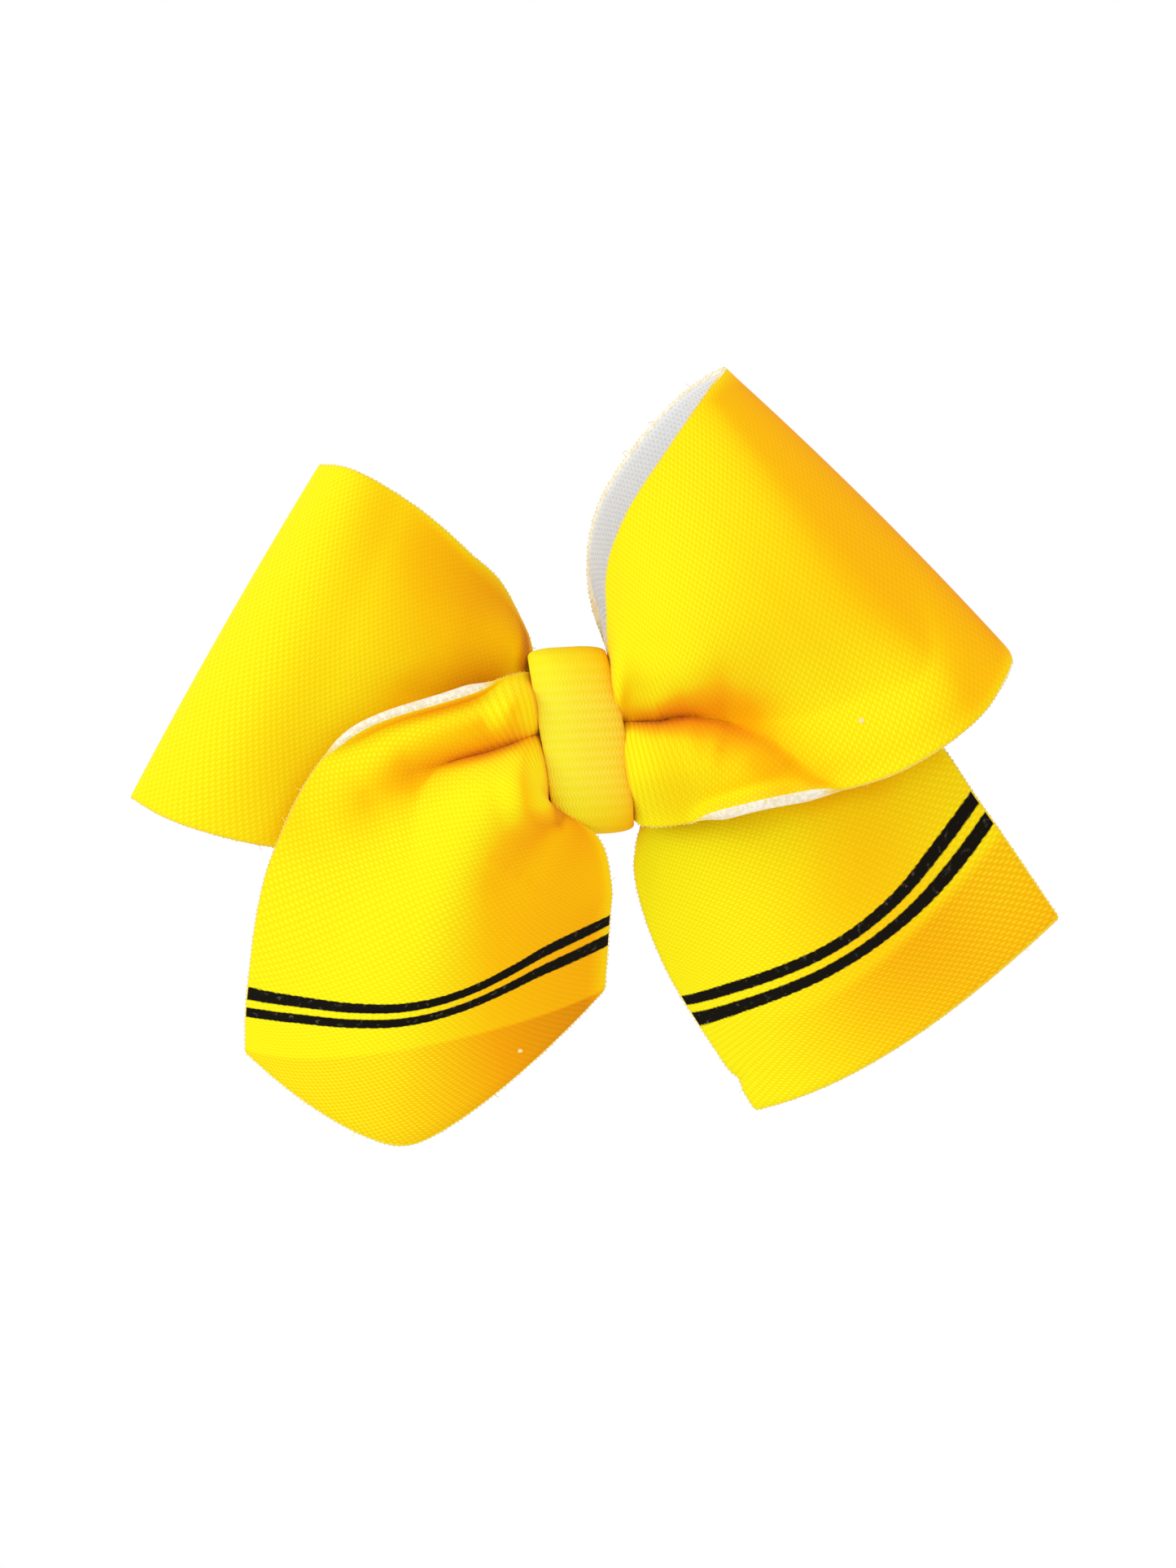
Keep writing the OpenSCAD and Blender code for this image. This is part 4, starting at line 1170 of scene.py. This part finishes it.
def cut_points(line, normal, out, half, edge_shade, hidden):
    """Evenly spaced points along a cut edge, with the ways out and along and the painted shade."""
    length = run_along(line)
    places = np.arange(LOOP_PITCH / 2, length[-1], LOOP_PITCH)

    def at(values):
        values = np.asarray(values, float).reshape(len(length), -1)
        return np.stack([np.interp(places, length, column) for column in values.T], axis=1)
    outward = unit(at(out) - 0.35 * at(normal))
    start = at(line) + at(half) * (0.2 * at(out) - 0.78 * at(normal))
    ahead = unit(np.gradient(start, axis=0))
    keep = at(hidden)[:, 0] < 0.5
    return start[keep], outward[keep], ahead[keep], at(edge_shade)[keep]


half_t = thickness / 2
across = unit(np.gradient(middle, axis=1))
length_way = unit(np.gradient(middle, axis=0))
under_wrap = ((np.abs(X + Z * LEAN) < WRAP_W / 2 + 0.8) & (np.abs(Z) < WRAP_Z + 0.5)
    & (rows[:, 9:10] > 0.6)).astype(float)
cuts = []
for column, sign in ((0, -1), (-1, 1)):
    cuts.append(cut_points(middle[:, column], normal[:, column], sign * across[:, column], half_t,
        painted_fold_shade[:, column], under_wrap[:, column]))
for row, sign in ((0, -1), (-1, 1)):
    cuts.append(cut_points(middle[row], normal[row], sign * length_way[row],
        np.repeat(half_t[row], COLUMNS), painted_fold_shade[row], np.zeros(COLUMNS)))
start, outward, ahead, loop_shade = [np.concatenate(part) for part in zip(*cuts)]
print(len(start), "stitches along the cuts")

# %% [markdown]
# The nodes: a four-sided ring of yarn is swept along an arc and set on the points, turned so
# that it stands out of the cut. A share of the points get a short loose end as well.

# %% Loops and loose ends
def yarn_nodes():
    """Nodes that set loops and loose ends of yarn on points."""
    tree = bpy.data.node_groups.new("cut_knit_loops", "GeometryNodeTree")
    face = tree.interface
    face.new_socket("Geometry", in_out="INPUT", socket_type="NodeSocketGeometry")
    for name, value in (("Loop radius", 0.00017), ("Yarn radius", 0.00006),
            ("End length", 0.0011), ("End share", 0.06)):
        face.new_socket(name, in_out="INPUT", socket_type="NodeSocketFloat").default_value = value
    face.new_socket("Yarn", in_out="INPUT", socket_type="NodeSocketMaterial")
    face.new_socket("Geometry", in_out="OUTPUT", socket_type="NodeSocketGeometry")
    given = add(tree, "NodeGroupInput")
    out_way = add(tree, "GeometryNodeInputNamedAttribute", {"Name": "out_way"},
        data_type="FLOAT_VECTOR").outputs["Attribute"]
    cut_way = add(tree, "GeometryNodeInputNamedAttribute", {"Name": "cut_way"},
        data_type="FLOAT_VECTOR").outputs["Attribute"]
    turn = add(tree, "FunctionNodeAxesToRotation", {"Primary Axis": out_way,
        "Secondary Axis": cut_way}, primary_axis="Z", secondary_axis="X").outputs[0]
    tilt = add(tree, "FunctionNodeRandomValue", {0: (-0.35, -0.5, -0.5), 1: (0.35, 0.5, 0.5),
        "Seed": 3}, data_type="FLOAT_VECTOR").outputs[0]
    turn = add(tree, "FunctionNodeRotateRotation", {"Rotation": turn, "Rotate By": tilt},
        rotation_space="LOCAL").outputs[0]
    ring = add(tree, "GeometryNodeCurvePrimitiveCircle", {"Resolution": 4,
        "Radius": given.outputs["Yarn radius"]}, mode="RADIUS").outputs["Curve"]
    arc = add(tree, "GeometryNodeCurveArc", {"Resolution": 7,
        "Radius": given.outputs["Loop radius"], "Start Angle": math.radians(-35),
        "Sweep Angle": math.radians(250)}, mode="RADIUS").outputs["Curve"]
    loop = add(tree, "GeometryNodeCurveToMesh", {"Curve": arc, "Profile Curve": ring}).outputs[0]
    loop = add(tree, "GeometryNodeTransform", {"Geometry": loop,
        "Rotation": (math.pi / 2, 0, 0)}).outputs[0]
    size = add(tree, "FunctionNodeRandomValue", {2: 0.75, 3: 1.2, "Seed": 8},
        data_type="FLOAT").outputs[1]
    loops = add(tree, "GeometryNodeInstanceOnPoints", {"Points": given.outputs["Geometry"],
        "Instance": loop, "Rotation": turn, "Scale": size}).outputs[0]
    reach = given.outputs["End length"]
    half_reach = calc(tree, "MULTIPLY", reach, 0.5)
    bend = calc(tree, "MULTIPLY", reach, 0.45)
    spine = add(tree, "GeometryNodeCurveQuadraticBezier", {"Resolution": 5, "Start": (0, 0, 0),
        "Middle": add(tree, "ShaderNodeCombineXYZ", {"Z": half_reach}).outputs[0],
        "End": add(tree, "ShaderNodeCombineXYZ", {"X": bend, "Z": reach}).outputs[0]})
    hair = add(tree, "GeometryNodeCurveToMesh", {"Curve": spine.outputs[0],
        "Profile Curve": ring, "Fill Caps": True}).outputs[0]
    chosen = add(tree, "FunctionNodeRandomValue", {"Probability": given.outputs["End share"],
        "Seed": 21}, data_type="BOOLEAN").outputs[3]
    swing = add(tree, "FunctionNodeRandomValue", {0: (-0.9, -0.9, -3), 1: (0.9, 0.9, 3),
        "Seed": 30}, data_type="FLOAT_VECTOR").outputs[0]
    swung = add(tree, "FunctionNodeRotateRotation", {"Rotation": turn, "Rotate By": swing},
        rotation_space="LOCAL").outputs[0]
    thin = add(tree, "FunctionNodeRandomValue", {2: 0.35, 3: 0.9, "Seed": 41},
        data_type="FLOAT").outputs[1]
    ends = add(tree, "GeometryNodeInstanceOnPoints", {"Points": given.outputs["Geometry"],
        "Selection": chosen, "Instance": hair, "Rotation": swung, "Scale": thin}).outputs[0]
    both = add(tree, "GeometryNodeJoinGeometry")
    tree.links.new(loops, both.inputs[0])
    tree.links.new(ends, both.inputs[0])
    real = add(tree, "GeometryNodeRealizeInstances", {"Geometry": both.outputs[0]}).outputs[0]
    yarn = add(tree, "GeometryNodeSetMaterial", {"Geometry": real,
        "Material": given.outputs["Yarn"]}).outputs[0]
    add(tree, "NodeGroupOutput", {"Geometry": yarn})
    return tree


dyed_yarn, tree, shader = new_material("dyed_yarn")
# The yarn runs from lit yellow to orange painted shade with the cloth's painted shade.
yarn_shade = ramp_colour(tree, attribute(tree, "painted_fold_shade"), (0, "#FFF58C"), (1, "#F2BC4A"))
tree.links.new(yarn_shade, shader.inputs["Base Color"])
set_up(shader, Roughness=0.85)

points = bpy.data.meshes.new("cut_edge_loops")
points.from_pydata(from_knot(start).tolist(), [], [])
for name, values in (("out_way", outward), ("cut_way", ahead)):
    points.attributes.new(name, "FLOAT_VECTOR", "POINT").data.foreach_set("vector",
        values.astype(np.float32).ravel())
point_values(points, "painted_fold_shade", loop_shade.ravel())
cut_line = put("cut_edge_points", points)
nodes = yarn_nodes()
sockets = {item.name: item.identifier for item in nodes.interface.items_tree
    if item.in_out == "INPUT"}
modifier = cut_line.modifiers.new("Loops", "NODES")
modifier.node_group = nodes
modifier[sockets["Yarn"]] = dyed_yarn
bpy.context.view_layer.update()
made = bpy.data.meshes.new_from_object(cut_line.evaluated_get(
    bpy.context.evaluated_depsgraph_get()))
bpy.data.objects.remove(cut_line)
made.materials.clear()
made.materials.append(dyed_yarn)
made.polygons.foreach_set("material_index", np.zeros(len(made.polygons), np.int32))
made.polygons.foreach_set("use_smooth", np.ones(len(made.polygons), bool))
edge_loops = put("cut_edge_loops", made)
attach(edge_loops, "bow")
print("cut_edge_loops:", len(made.polygons), "faces")

# %% [markdown]
# Worn knit pills: broken fibres roll into tiny pale balls. This bow has one on the right loop
# and one on the left tail's end. Each is a small ball whose surface is pushed in and out at
# random, half sunk in the cloth.

# %% Pills
pilled_fibre, tree, shader = new_material("pilled_fibre")
set_up(shader, Base_Color=linear("#FFE9A8"), Roughness=0.95, Sheen_Weight=0.3)


def face_point(panel, x, z):
    """The point of a panel's printed face that lies nearest to (x, z), in mm."""
    distance = np.hypot(X - x, Z - z) + 1e3 * (1 - panel_mask(panel))
    spot = np.unravel_index(distance.argmin(), X.shape)
    return middle[spot] - thickness[spot[0]] / 2 * normal[spot]


pill_mesh = bpy.data.meshes.new("fibre_pills")
work = bmesh.new()
rng = np.random.default_rng(17)
for place, radius in ((face_point("right_loop_front", 39.5, 2.8), 0.42),
        (face_point("left_tail", -8.7, -42.2), 0.34)):
    ball = bmesh.ops.create_icosphere(work, subdivisions=3, radius=radius / 1000)
    for vertex in ball["verts"]:
        vertex.co *= 0.75 + 0.5 * rng.random()
        vertex.co = Vector(from_knot(np.array(place))) + Vector(
            (vertex.co.x, vertex.co.y * 0.6, vertex.co.z * 0.8))
work.to_mesh(pill_mesh)
work.free()
pill_mesh.materials.append(pilled_fibre)
pills = put("fibre_pills", pill_mesh)
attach(pills, "bow")
print("fibre_pills:", len(pill_mesh.polygons), "faces")
